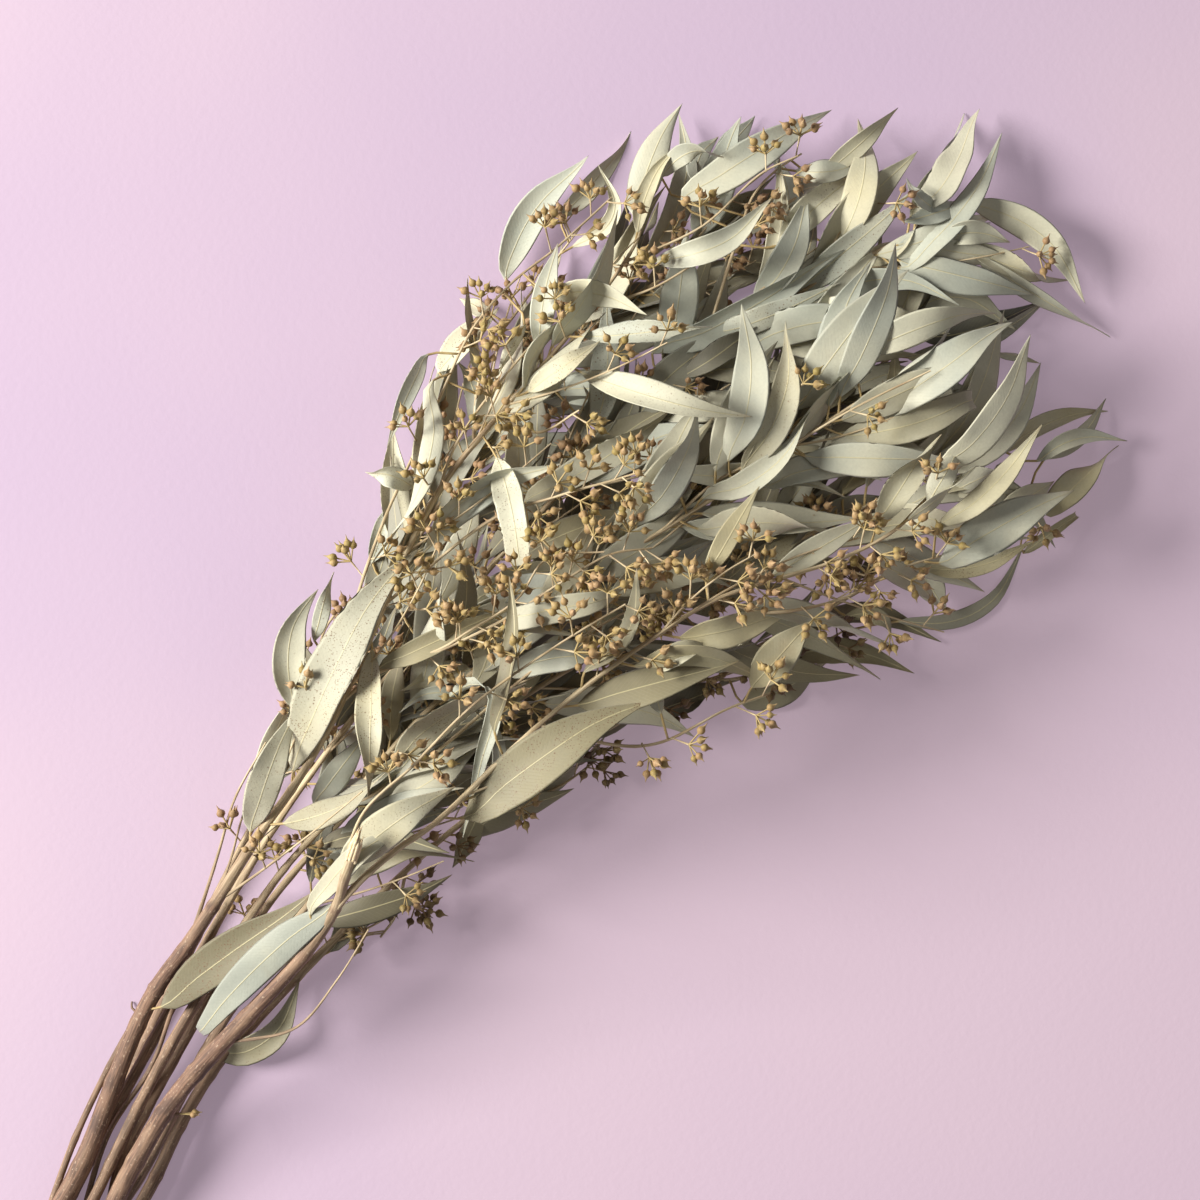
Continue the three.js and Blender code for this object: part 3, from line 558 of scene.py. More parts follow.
def through(points, share):
    """The point at a share of the smooth curve through a route's points."""
    last = len(points) - 1
    i = min(last - 1, int(share * last))
    t = share * last - i
    a, b = points[i], points[i + 1]
    before = points[i - 1] if i else 2 * a - b
    after = points[i + 2] if i + 2 <= last else 2 * b - a
    start, end = 0.5 * (b - before), 0.5 * (after - a)
    return a + start * t + (3 * b - 3 * a - 2 * start - end) * t**2 + (2 * a - 2 * b + start + end) * t**3


def smooth_through(knots, values, at):
    """Values at uneven knots, carried smoothly to the places in at."""
    gaps = np.diff(knots)[:, None]
    chords = np.diff(values, axis=0) / gaps
    inner = (chords[:-1] * gaps[1:] + chords[1:] * gaps[:-1]) / (gaps[:-1] + gaps[1:])
    slopes = np.vstack([chords[:1], inner, chords[-1:]])
    i = np.clip(np.searchsorted(knots, at, side="right") - 1, 0, len(gaps) - 1)
    t = ((at - knots[i]) / gaps[i, 0])[:, None]
    a, b = values[i], values[i + 1]
    start, end = slopes[i] * gaps[i], slopes[i + 1] * gaps[i]
    return a + start * t + (3 * b - 3 * a - 2 * start - end) * t**2 + (2 * a - 2 * b + start + end) * t**3


# The height of all that has been laid so far, on a grid of square cells

COLUMNS = round((GRID_X[1] - GRID_X[0]) / CELL)
ROWS = round((GRID_Y[1] - GRID_Y[0]) / CELL)


def windowed(grid, reach, summary):
    """Runs a window of cells over the grid, along its rows and then along its columns."""
    for axis in (1, 0):
        edges = [(reach, reach) if side == axis else (0, 0) for side in (0, 1)]
        padded = np.pad(grid, edges, constant_values=np.nan)
        seen = np.lib.stride_tricks.sliding_window_view(padded, 2 * reach + 1, axis)
        grid = summary(seen, axis=-1)
    return grid


def relaxed(grid, slope):
    """Nothing stiff drops off an edge, so the sheet falls away no steeper than the slope."""
    drop = slope * CELL
    ramp = drop * np.arange(COLUMNS)
    for turn in (1, -1):
        grid = grid[::turn, ::turn].copy()
        for row in range(ROWS):
            if row:
                behind = np.pad(grid[row - 1], 1, constant_values=-np.inf)
                corner = drop * math.sqrt(2)
                nearby = [grid[row], behind[1:-1] - drop, behind[:-2] - corner, behind[2:] - corner]
                grid[row] = np.max(nearby, axis=0)
            grid[row] = np.maximum.accumulate(grid[row] + ramp) - ramp
        grid = grid[::turn, ::turn]
    return grid


def draped(grid, sheet):
    """Lays a sheet over the grid."""
    reach, blur, slope = sheet
    return windowed(relaxed(windowed(grid, reach, np.nanmax), slope), blur, np.nanmean)


def read_grid(grid, x, y):
    """Reads a grid between the middles of its cells."""
    u = min(COLUMNS - 1.001, max(0, (x - GRID_X[0]) / CELL - 0.5))
    v = min(ROWS - 1.001, max(0, (y - GRID_Y[0]) / CELL - 0.5))
    c, r = int(u), int(v)
    low = mix(grid[r, c], grid[r, c + 1], u - c)
    high = mix(grid[r + 1, c], grid[r + 1, c + 1], u - c)
    return mix(low, high, v - r)


def foliage_share(x):
    """0 over the bare stems, 1 over the foliage and smooth over the neck between them."""
    return float(smooth((x - NECK[0]) / (NECK[1] - NECK[0])))


def sheet_over(grid):
    """The surface that the next stem lies on: close over the bare wood, loose over the foliage."""
    close, loose = draped(grid, CLOSE), draped(grid, LOOSE)
    return lambda x, y: mix(read_grid(close, x, y), read_grid(loose, x, y), foliage_share(x))


SPREADS = {}


def spread_shares(steps):
    """The shares of a face's two sides at which it is looked at."""
    if steps not in SPREADS:
        i, j = np.mgrid[0 : steps + 1, 0 : steps + 1]
        kept = i + j <= steps
        SPREADS[steps] = i[kept][:, None] / steps, j[kept][:, None] / steps
    return SPREADS[steps]


def cover(grid, faces):
    """Raises the cells under each face to its upper side."""
    for a, b, c in faces:
        longest = max(math.dist(a, b), math.dist(b, c), math.dist(c, a))
        u, v = spread_shares(math.ceil(longest / (CELL / 2)) + 1)
        p = a + (b - a) * u + (c - a) * v
        column = ((p[:, 0] - GRID_X[0]) // CELL).astype(int)
        row = ((p[:, 1] - GRID_Y[0]) // CELL).astype(int)
        np.maximum.at(grid, (row, column), p[:, 2] + CLEAR)


# Rings and strips of the coarse skins


def sideways(tangent):
    """The level direction to the left of a way through space, and the one square to both."""
    left = unit(np.array([-tangent[1], tangent[0], 0.0]))
    return left, unit(np.cross(tangent, left))


def tangent_at(points, i):
    return unit(points[min(len(points) - 1, i + 1)] - points[max(0, i - 1)])


def ring_of(centre, across, up, radius, sides, start=0.0):
    angles = [start + j * 2 * math.pi / sides for j in range(sides)]
    return [centre + across * (radius * math.cos(a)) + up * (radius * math.sin(a)) for a in angles]


def round_ring(centre, tangent, radius, sides, start=0.0):
    left, up = sideways(tangent)
    return ring_of(centre, left, up, radius, sides, start)


def strip(a, b, flip=99):
    """Joins two rings. From corner flip on, the faces split along their other diagonal."""
    faces = []
    for j in range(len(a)):
        k = (j + 1) % len(a)
        if j >= flip:
            faces += [(a[j], a[k], b[j]), (a[k], b[k], b[j])]
        else:
            faces += [(a[j], a[k], b[k]), (a[j], b[k], b[j])]
    return faces


def cone_to(ring, tip):
    return [(corner, ring[(j + 1) % len(ring)], tip) for j, corner in enumerate(ring)]


def cap_over(ring):
    return [(ring[0], ring[j + 1], corner) for j, corner in enumerate(ring[2:])]


def bridged(points, passes):
    """What is stiff bridges a hollow: no inner point hangs below the middle of its neighbours."""
    for _ in range(passes):
        for i in range(1, len(points) - 1):
            points[i][2] = max(points[i][2], (points[i - 1][2] + points[i + 1][2]) / 2)
    return points


# Wood, leaves and umbels as they are packed


def wood_along(route, radii, step, sides, lay):
    """A length of wood over a route in the plan. lay gives the height of its middle."""
    placed = [place(point) for point in route]
    length = sum(math.dist(a, b) for a, b in zip(route, route[1:]))
    count = math.ceil(length / step)
    points, radius = [], []
    for i in range(count + 1):
        t = i / count
        p = through(placed, t)
        radius.append(mix(radii[0], radii[1], t))
        p[2] = lay(p, t, radius[i])
        points.append(p)
    return {"points": bridged(points, STIFF_PASSES), "radius": radius, "sides": sides}


def wood_faces(wood):
    points = wood["points"]
    rings = [
        round_ring(p, tangent_at(points, i), wood["radius"][i], wood["sides"])
        for i, p in enumerate(points)
    ]
    skin = [face for a, b in zip(rings, rings[1:]) for face in strip(a, b)]
    return cap_over(rings[0]) + skin + cap_over(rings[-1])


def nearest_wood(woods, spot):
    """The point of the wood's middle line that is nearest in plan."""
    best, least = None, math.inf
    for wood in woods:
        for a, b in zip(wood["points"], wood["points"][1:]):
            run = b - a
            dot = (spot[0] - a[0]) * run[0] + (spot[1] - a[1]) * run[1]
            point = a + run * min(1, max(0, dot / (run[0] ** 2 + run[1] ** 2)))
            away = math.hypot(point[0] - spot[0], point[1] - spot[1])
            if away < least:
                best, least = point, away
    return best


def blade_width(u):
    """A blade's width along its length, as a share of its widest."""
    return max(0.0, math.sin(math.pi * u**BLADE_SKEW)) ** BLADE_FULLNESS


def bent(base, control, tip, u):
    """A point on the curve from base to tip that bends towards control."""
    return base * (1 - u) ** 2 + control * 2 * u * (1 - u) + tip * u**2


def leaf_shape(row, woods, sheet, layer, loft, rests, draw):
    """A leaf: its petiole's root, and the middle, the left and the half width of its stations."""
    base, tip = place(row[0:2]), place(row[2:4])
    width, bow = row[4:6]
    along = tip - base
    control = (base + tip) / 2 + np.array([-along[1], along[0], 0.0]) * 2 * bow
    root = nearest_wood(woods, base - unit(along) * PETIOLE_BACK)
    root_rise = max(LEAST_RISE, root[2] - sheet(root[0], root[1]))
    tip_rise = -REST_CUT if rests else mix(LEAST_RISE, loft, draw())
    arch = mix(*LEAF_ARCH, draw()) * loft
    roll = mix(*LEAF_ROLL, draw())
    twist = mix(*LEAF_TWIST, draw())

    centres = [bent(base, control, tip, u) for u in BLADE_STATIONS]
    middles = [centre.copy() for centre in centres]
    lefts, halves, hidden = [], [], []
    for i, u in enumerate(BLADE_STATIONS):
        flat = tangent_at(centres, i)
        half = PETIOLE_R if i == 0 else blade_width(u) * width / 2
        angle = roll + twist * u
        left = np.array([-flat[1], flat[0], 0.0]) * math.cos(angle)
        left[2] = math.sin(angle)
        under = [centres[i] + left * w for w in (-half, 0, half)]
        ground = max(sheet(p[0], p[1]) for p in under)
        rise = mix(root_rise, tip_rise, u) + arch * 4 * u * (1 - u)
        least = -REST_CUT if u == 1 else half * abs(math.sin(angle)) + BLADE_THICK
        middles[i][2] = ground + max(rise, least)
        lefts.append(left)
        halves.append(half)
        hidden.append(max(read_grid(layer, p[0], p[1]) for p in under) - middles[i][2] + least)
    if not rests:
        lift = max(0, *(h for h, u in zip(hidden, BLADE_STATIONS) if 0.1 < u < 1))
        for middle, u in zip(middles, BLADE_STATIONS):
            middle[2] += lift * float(smooth(u / WHOLE_LIFT_AT))
    bridged(middles, 1)
    return {
        "root": root, "middles": middles, "lefts": lefts, "halves": halves,
        "width": width, "roll": roll, "twist": twist,
    }


def leaf_faces(leaf):
    """The coarse skin of a petiole and its blade."""
    middles = [leaf["root"], *leaf["middles"]]
    rings = []
    for i in range(len(BLADE_STATIONS) - 1):
        centre, left, half = leaf["middles"][i], leaf["lefts"][i], leaf["halves"][i]
        up = unit(np.cross(tangent_at(middles, i + 1), left))
        sunk = centre - up * (BLADE_FOLD * half)
        rings.append([
            centre + left * half,
            sunk + up * (BLADE_THICK / 2),
            centre - left * half,
            sunk - up * (BLADE_THICK / 2),
        ])
    root_ring = round_ring(leaf["root"], tangent_at(middles, 0), PETIOLE_R, 4)
    skin = [face for a, b in zip([root_ring, *rings], rings) for face in strip(a, b, 2)]
    return cap_over(root_ring) + skin + cone_to(rings[-1], middles[-1])


def fill_leaves(stem, draw):
    """The leaves that grow by rule: alternate sides of the upper stem, leaning forward."""
    route = [np.array([x, y, 0.0]) for x, y in stem["stem"]]
    rows = []
    for i in range(stem["fill"]):
        t = mix(*FILL_SPAN, (i + 0.5) / stem["fill"])
        at = through(route, t)
        way = through(route, t + 1e-4) - through(route, t - 1e-4)
        side = 1 if i % 2 else -1
        heading = math.atan2(way[1], way[0]) + side * mix(*FILL_OUT, draw())
        length = mix(*FILL_LENGTH, draw())
        start = mix(*FILL_START, draw())
        width = mix(*FILL_WIDTH, draw())
        c, s = math.cos(heading), math.sin(heading)
        ends = [v for r in (start, start + length) for v in (at[0] + c * r, at[1] + s * r)]
        rows.append([*ends, width, side * mix(*FILL_BOW, draw())])
    return rows


def point_on(wood, share):
    """The point at a share of a length of wood, and the way that the wood runs there."""
    points = wood["points"]
    at = share * (len(points) - 1)
    i = min(len(points) - 2, int(at))
    run = points[i + 1] - points[i]
    return points[i] + run * (at - i), unit(run)


def umbel_shape(wood, share, side, sheet, layer, draw):
    """An umbel: its peduncle's root and end, and the way that each of its nuts points."""
    root, tangent = point_on(wood, share)
    heading = math.atan2(tangent[1], tangent[0]) + side * mix(*PEDUNCLE_OUT, draw())
    reach = PEDUNCLE * mix(*PEDUNCLE_SPREAD, draw())
    hub = root + np.array([math.cos(heading), math.sin(heading), 0.0]) * reach
    around = ring_of(hub, np.array([1.0, 0, 0]), np.array([0, 1.0, 0]), UMBEL_ROOM, 6)
    ground = max(sheet(p[0], p[1]) for p in around)
    leaf_top = max(read_grid(layer, p[0], p[1]) for p in around)
    rise = max(PEDUNCLE_RISE, root[2] - sheet(root[0], root[1]) + mix(*HUB_OVER_ROOT, draw()))
    hub[2] = max(ground + rise, leaf_top + UMBEL_OVER_LEAF)
    fan = mix(*UMBEL_FAN, draw())
    ways = []
    for turn in (0, fan, -fan):
        aim = heading + turn + mix(*NUT_ASIDE, draw())
        climb = mix(*NUT_CLIMB, draw())
        flat = math.cos(climb)
        ways.append(np.array([math.cos(aim) * flat, math.sin(aim) * flat, math.sin(climb)]))
    return {"root": root, "hub": hub, "ways": ways}


def nut_faces(mouth, hub, way):
    """A coarse nut on its stalk, which grows out of an open face of the umbel's block."""
    middle = sum(mouth) / len(mouth)
    corner = mouth[0] - middle
    across = unit(corner - way * corner.dot(way))
    up = np.cross(way, across)
    neck = ring_of(hub + way * PEDICEL, across, up, STALK_R, len(mouth))
    widest = ring_of(hub + way * (PEDICEL + NUT_LENGTH * NUT_WIDEST), across, up, NUT_R, len(mouth))
    tip = hub + way * (PEDICEL + NUT_LENGTH)
    return strip(mouth, neck) + strip(neck, widest) + cone_to(widest, tip)


def umbel_faces(umbel):
    root, hub, ways = umbel["root"], umbel["hub"], umbel["ways"]
    climbing = unit(hub - root)
    block_start = hub - climbing * (2 * STALK_R)
    rings = [round_ring(c, climbing, STALK_R, 3, -math.pi / 6) for c in (root, block_start, hub)]
    start, near, far = rings

    def side(j):
        return [near[j], near[(j + 1) % 3], far[(j + 1) % 3], far[j]]

    nuts = nut_faces(far, hub, ways[0]) + nut_faces(side(0), hub, ways[1])
    nuts += nut_faces(side(1), hub, ways[2])
    return cap_over(start) + strip(start, near) + nuts + cap_over(side(2))


def grow(stem, index, sheet):
    """Lays one stem over the sheet, as it is packed."""
    draw = stream(index + 1)
    rest = REST_CUT if index < ON_TABLE else 0

    def lay_stem(p, _, radius):
        return sheet(p[0], p[1]) + mix(radius * FLAT - rest, STEM_LOFT, foliage_share(p[0]))

    def lay_twig(p, t, _):
        return sheet(p[0], p[1]) + mix(STEM_LOFT, stem["loft"] * TWIG_LOFT, float(smooth(t)))

    woods = [wood_along(stem["stem"], stem["radius"], STEM_STEP, STEM_SIDES, lay_stem)]
    if "branch" in stem:
        woods.append(wood_along(stem["branch"], BRANCH_R, STEM_STEP, STEM_SIDES, lay_stem))
    main_woods = list(woods)
    for route in stem["twigs"]:
        fork = nearest_wood(main_woods, place(route[0]))
        wood = wood_along(route, TWIG_R, TWIG_STEP, TWIG_SIDES, lay_twig)
        wood["points"][0] = fork
        woods.append(wood)

    layer = np.zeros((ROWS, COLUMNS))
    faces = [face for wood in woods for face in wood_faces(wood)]
    cover(layer, faces)
    leaves = []
    for i, row in enumerate(stem["leaves"] + fill_leaves(stem, draw)):
        rests = index < ON_TABLE and i % 3 == 0
        leaf = leaf_shape(row, woods, sheet, layer, stem["loft"], rests, draw)
        skin = leaf_faces(leaf)
        cover(layer, skin)
        faces += skin
        leaves.append(leaf)

    bearers = [(wood, TWIG_UMBELS_FROM, 1) for wood in woods[len(main_woods) :]]
    bearers.append((main_woods[-1], *stem["fruit"]))
    umbels = []
    for wood, start, end in bearers:
        length = sum(math.dist(a, b) for a, b in zip(wood["points"], wood["points"][1:]))
        count = max(1, math.floor(length * (end - start) / UMBEL_STEP + 0.5))
        for i in range(count):
            share = min(LAST_UMBEL, mix(start, end, (i + UMBEL_PLACE) / count))
            umbel = umbel_shape(wood, share, 1 if i % 2 else -1, sheet, layer, draw)
            faces += umbel_faces(umbel)
            umbels.append(umbel)
    return {
        "woods": woods, "leaves": leaves, "umbels": umbels, "bearers": bearers,
        "faces": faces, "layer": layer, "sheet": sheet,
    }


def let_down(name, faces):
    """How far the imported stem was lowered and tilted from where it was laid, read off its corners."""
    packed = np.array([v.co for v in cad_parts[name].data.vertices]) / MM
    packed = np.unique(np.round(packed - [*CENTRING, 0], 3), axis=0)
    laid = np.unique(np.round(np.array(faces).reshape(-1, 3), 3), axis=0)
    trees = []
    for corners in (packed, laid):
        tree = kdtree.KDTree(len(corners))
        for i, corner in enumerate(corners):
            tree.insert((corner[0], corner[1], 0), i)
        tree.balance()
        trees.append(tree)
    pairs = []
    for corner in laid:
        spot = (corner[0], corner[1], 0)
        found = trees[0].find_range(spot, SAME_SPOT)
        if len(found) == 1 and len(trees[1].find_range(spot, ALONE_WITHIN)) == 1:
            height = packed[found[0][1]][2]
            if height > EXACT:
                pairs.append((corner[0], height - corner[2]))
    pairs = np.array(pairs)
    near = np.ones(len(pairs), bool)
    for _ in range(FITS):
        tilt, fall = np.polyfit(*pairs[near].T, 1)
        off = np.abs(pairs[:, 1] - (fall + tilt * pairs[:, 0]))
        near = off <= max(EXACT, np.median(off) * 2)
    return fall, tilt


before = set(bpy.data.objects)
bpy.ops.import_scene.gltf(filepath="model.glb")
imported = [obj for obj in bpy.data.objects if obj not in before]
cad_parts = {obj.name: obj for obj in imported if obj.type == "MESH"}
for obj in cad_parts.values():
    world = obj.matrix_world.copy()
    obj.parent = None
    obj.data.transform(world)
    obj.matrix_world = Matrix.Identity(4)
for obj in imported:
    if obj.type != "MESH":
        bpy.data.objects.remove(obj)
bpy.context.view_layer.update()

pile = np.zeros((ROWS, COLUMNS))
bunch = []
for index, stem in enumerate(STEMS):
    laid = grow(stem, index, sheet_over(pile))
    fall, tilt = let_down(stem["name"], laid["faces"])
    settled = np.array(laid["faces"])
    settled[:, :, 2] += fall + tilt * settled[:, :, 0]
    cover(pile, settled)
    laid["settle"] = (fall, tilt)
    bunch.append(laid)


# Node trees


class Value:
    """One socket of a node tree. Python's sums on it add Math nodes to the tree."""

    def __init__(self, tree, socket):
        self.tree = tree
        self.socket = socket

    def out(self, name):
        return Value(self.tree, self.socket.node.outputs[name])

    def maths(self, operation, *values):
        return node(self.tree, "ShaderNodeMath", {"operation": operation}, dict(enumerate(values)))

    def __add__(self, other):
        return self.maths("ADD", self, other)

    def __sub__(self, other):
        return self.maths("SUBTRACT", self, other)

    def __rsub__(self, other):
        return self.maths("SUBTRACT", other, self)

    def __mul__(self, other):
        return self.maths("MULTIPLY", self, other)

    def __truediv__(self, other):
        return self.maths("DIVIDE", self, other)

    __radd__ = __add__
    __rmul__ = __mul__

    def size(self):
        return self.maths("ABSOLUTE", self)

    def part(self):
        return self.maths("FRACT", self)

    def rising(self, low, high):
        """0 below low, 1 above high and smooth between them."""
        settings = {"interpolation_type": "SMOOTHSTEP"}
        return node(self.tree, "ShaderNodeMapRange", settings, {0: self, 1: low, 2: high})

    def falling(self, low, high):
        return 1 - self.rising(low, high)


def node(tree, kind, settings, inputs, output=0):
    """Adds a node, with its settings first and then the values or links of its sockets."""
    made = tree.nodes.new(kind)
    for name, value in settings.items():
        setattr(made, name, value)
    for name, value in inputs.items():
        if isinstance(value, Value):
            tree.links.new(value.socket, made.inputs[name])
        else:
            made.inputs[name].default_value = value
    return Value(tree, made.outputs[output])


def colour(text):
    """A colour written as six hexadecimal digits, in the linear values that shaders use."""
    parts = [int(text[i : i + 2], 16) / 255 for i in (0, 2, 4)]
    return (*(p / 12.92 if p <= 0.04045 else ((p + 0.055) / 1.055) ** 2.4 for p in parts), 1)


def blend(factor, a, b, how="MIX"):
    """Mixes two colours."""
    tree = next(value.tree for value in (factor, a, b) if isinstance(value, Value))
    settings = {"data_type": "RGBA", "blend_type": how}
    return node(tree, "ShaderNodeMix", settings, {0: factor, 6: a, 7: b}, 2)


class Finish:
    """A material with one Principled shader, and the things that its colours are made from."""

    def __init__(self, name, **constants):
        self.material = bpy.data.materials.new(name)
        self.material.use_nodes = True
        self.tree = self.material.node_tree
        self.shader = self.tree.nodes["Principled BSDF"]
        for name, value in constants.items():
            self.shader.inputs[name.replace("_", " ").title()].default_value = value

    def spot(self):
        """Where on the piece a point is, in metres."""
        return node(self.tree, "ShaderNodeTexCoord", {}, {}, "Object")

    def noise(self, scale, detail):
        sockets = {"Vector": self.spot(), "Scale": scale, "Detail": detail}
        return node(self.tree, "ShaderNodeTexNoise", {}, sockets)

    def cells(self, scale):
        """How far a point is from the middle of its cell."""
        return node(self.tree, "ShaderNodeTexVoronoi", {}, {"Vector": self.spot(), "Scale": scale})

    def given(self, name, output="Fac"):
        """A number or a vector that the mesh carries."""
        return node(self.tree, "ShaderNodeAttribute", {"attribute_name": name}, {}, output)

    def split(self, vector):
        parts = node(self.tree, "ShaderNodeSeparateXYZ", {}, {0: vector})
        return parts, parts.out("Y"), parts.out("Z")

    def three(self, name):
        """Three numbers that the mesh carries as one vector."""
        return self.split(self.given(name, "Vector"))

    def grey(self, value):
        """A grey of this strength, to multiply a colour by."""
        return node(self.tree, "ShaderNodeCombineColor", {}, {0: value, 1: value, 2: value})

    def link(self, **values):
        for name, value in values.items():
            self.tree.links.new(value.socket, self.shader.inputs[name.replace("_", " ").title()])

    def bump(self, height, depth, strength):
        sockets = {"Height": height, "Distance": depth, "Strength": strength}
        self.link(normal=node(self.tree, "ShaderNodeBump", {}, sockets))


# Materials


def leaf_finish():
    """Grey-green blades with a waxy bloom, pale veins, a straw petiole and brown specks."""
    finish = Finish("dried_leaf", sheen_weight=0.12, sheen_roughness=0.6)
    across, along, share = finish.three("blade")
    light, olive, specks = finish.three("tint")
    cloudy = finish.noise(38, 3)
    fine = finish.noise(700, 4)

    hue = olive + (cloudy - 0.5) * 0.7
    base = blend(hue.rising(-0.15, 0.4), colour("acaf9f"), colour("c0bca3"))
    base = blend(hue.rising(0.35, 1.1), base, colour("aea37c"))
    # The tint's first number sets the lightness: partly the leaf's own tone, partly painted light on the
    # stems at the left and painted shade on the deep leaves.
    base = blend(1.0, base, finish.grey(light * (0.86 + cloudy * 0.28)), "MULTIPLY")

    slant = along - across.size() * VEIN_SLANT
    side_veins = (slant / VEIN_STEP + cloudy * 0.3).part() - 0.5
    side_veins = side_veins.size().falling(0.0, 0.07) * across.size().rising(0.3, 1.2)
    midrib = across.size().falling(*MIDRIB_EDGE) * share.falling(0.86, 0.99)
    base = blend(side_veins * 0.08, base, colour("cfc9a6"))
    base = blend(midrib * 0.62, base, colour("cdc294"))
    grain = (fine - 0.5) * 0.22 + 1
    base = blend(1.0, base, finish.grey(grain), "MULTIPLY")

    coarse_specks = finish.cells(420).falling(0.10, 0.24) * finish.noise(90, 1).rising(0.45, 0.6)
    fine_specks = finish.cells(900).falling(0.14, 0.36) * finish.noise(120, 1).rising(0.38, 0.6)
    spotted = coarse_specks + fine_specks * specks
    base = blend(spotted * specks * 0.85, base, colour("69492c"))
    stained = (share.rising(0.86, 1.02) + finish.noise(60, 3).rising(0.58, 0.8) * 0.35) * 0.55
    base = blend(stained * finish.noise(25, 1).rising(0.4, 0.65), base, colour("8a6b42"))
    base = blend(share.falling(-0.01, 0.015), base, colour("b59c66"))
    finish.link(base_color=base, roughness=0.62 - midrib * 0.12 + (fine - 0.5) * 0.2)
    finish.bump(midrib * 0.5 - side_veins * 0.14 + fine * 0.25 + cloudy * 0.8, 0.0005, 0.7)
    return finish.material


def wood_finish():
    """Brown bark in long streaks, straw-coloured where it is thin, and pale where it is torn or cut."""
    finish = Finish("dried_wood")
    thickness, raw, old = finish.three("bark")
    round_x, round_y, _ = finish.three("round")
    along = finish.given("along")
    girth = thickness * MM

    def bark_noise(scale, detail, stretch):
        sockets = {0: along * stretch, 1: round_x * girth, 2: round_y * girth}
        where = node(finish.tree, "ShaderNodeCombineXYZ", {}, sockets)
        sockets = {"Vector": where, "Scale": scale, "Detail": detail}
        return node(finish.tree, "ShaderNodeTexNoise", {}, sockets)

    streaks = bark_noise(1100, 4, 0.06)
    patches = bark_noise(160, 3, 0.25)
    warts = bark_noise(900, 2, 0.6)
    fine = bark_noise(3200, 3, 0.15)
    bark = blend(streaks.rising(0.35, 0.68), colour("5d4638"), colour("8c6d58"))
    bark = blend(patches.rising(0.5, 0.75) * 0.55, bark, colour("a88a6e"))
    bark = blend(warts.rising(0.62, 0.7) * 0.6, bark, colour("c2aa90"))
    bark = blend(patches.falling(0.32, 0.45) * 0.6, bark, colour("4a372f"))
    straw = blend(streaks.rising(0.3, 0.7), colour("a8936e"), colour("d6c49f"))
    straw = blend(patches.rising(0.5, 0.7) * 0.5, straw, colour("8c6c52"))
    thick = thickness.rising(*BARK_FROM)
    base = blend(thick.maths("MAXIMUM", thick, old * 0.9), straw, bark)
    torn = blend(fine.rising(0.35, 0.65), colour("cdb182"), colour("efdfbb"))
    base = blend(raw, base, torn)
    finish.link(base_color=base, roughness=0.62 + streaks * 0.25)
    finish.bump(streaks * 0.6 + warts * 0.25 + fine * 0.3, 0.0004, 0.8)
    return finish.material


def nut_finish():
    """Golden brown nuts, with an olive cup below a beaked lid, on straw-coloured stalks."""
    finish = Finish("gum_nut", sheen_weight=0.08)
    share = finish.given("nut_share")
    ripe, brown, _ = finish.three("nut_tint")
    mottled = finish.noise(420, 3)
    fine = finish.noise(1800, 2)
    cup = blend(ripe.rising(0.0, 1.0), colour("978545"), colour("a3815a"))
    lid = blend(ripe.rising(0.0, 1.0), colour("ac9a5c"), colour("b8966e"))
    base = blend(share.rising(0.66, 0.74), cup, lid)
    base = blend(mottled.rising(0.45, 0.75) * 0.35, base, colour("84653a"))
    base = blend(brown, base, colour("4f3520"))
    seam = share.rising(0.70, 0.72) * share.falling(0.73, 0.75)
    base = blend(seam * 0.3, base, colour("6f5230"))
    base = blend(share.rising(0.9, 1.0) * 0.6, base, colour("6a4a2c"))
    stalk = blend(brown, colour("b09a66"), colour("6b4c2c"))
    base = blend(share.falling(*STALK_SHARE), base, stalk)
    finish.link(base_color=base, roughness=0.55 + fine * 0.2)
    finish.bump(mottled * 0.6 + fine * 0.4, 0.0005, 0.5)
    return finish.material


# Meshes


class Skins:
    """Gathers the vertices and faces of many closed skins, and what each vertex carries."""

    def __init__(self):
        self.places = []
        self.faces = []
        self.carried = {}
        self.count = 0

    def add(self, places, faces, **carried):
        self.faces += [[corner + self.count for corner in face] for face in faces]
        self.places.append(places)
        self.count += len(places)
        for name, values in carried.items():
            self.carried.setdefault(name, []).append(values)

    def mesh(self, name, edges=False):
        places = np.concatenate(self.places)
        places[:, :2] += CENTRING
        places[:, 2] = np.maximum(places[:, 2], FLOOR_GAP)
        made = bpy.data.meshes.new(name)
        lists = (self.faces, []) if edges else ([], self.faces)
        made.from_pydata((places * MM).tolist(), *lists)
        for key, values in self.carried.items():
            values = np.concatenate(values)
            kind = "FLOAT" if values.ndim == 1 else "FLOAT_VECTOR"
            layer = made.attributes.new(key, kind, "POINT")
            layer.data.foreach_set("value" if values.ndim == 1 else "vector", values.ravel())
        made.validate()
        return made


def show(name, mesh, material=None):
    """Puts a mesh into the scene."""
    shown = bpy.data.objects.new(name, mesh)
    bpy.context.collection.objects.link(shown)
    if material:
        mesh.materials.append(material)
    return shown


def let_down_points(points, settle):
    """Points of a stem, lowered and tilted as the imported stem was."""
    fall, tilt = settle
    moved = np.array(points, float)
    moved[:, 2] += fall + tilt * moved[:, 0]
    return moved


# Fine leaves


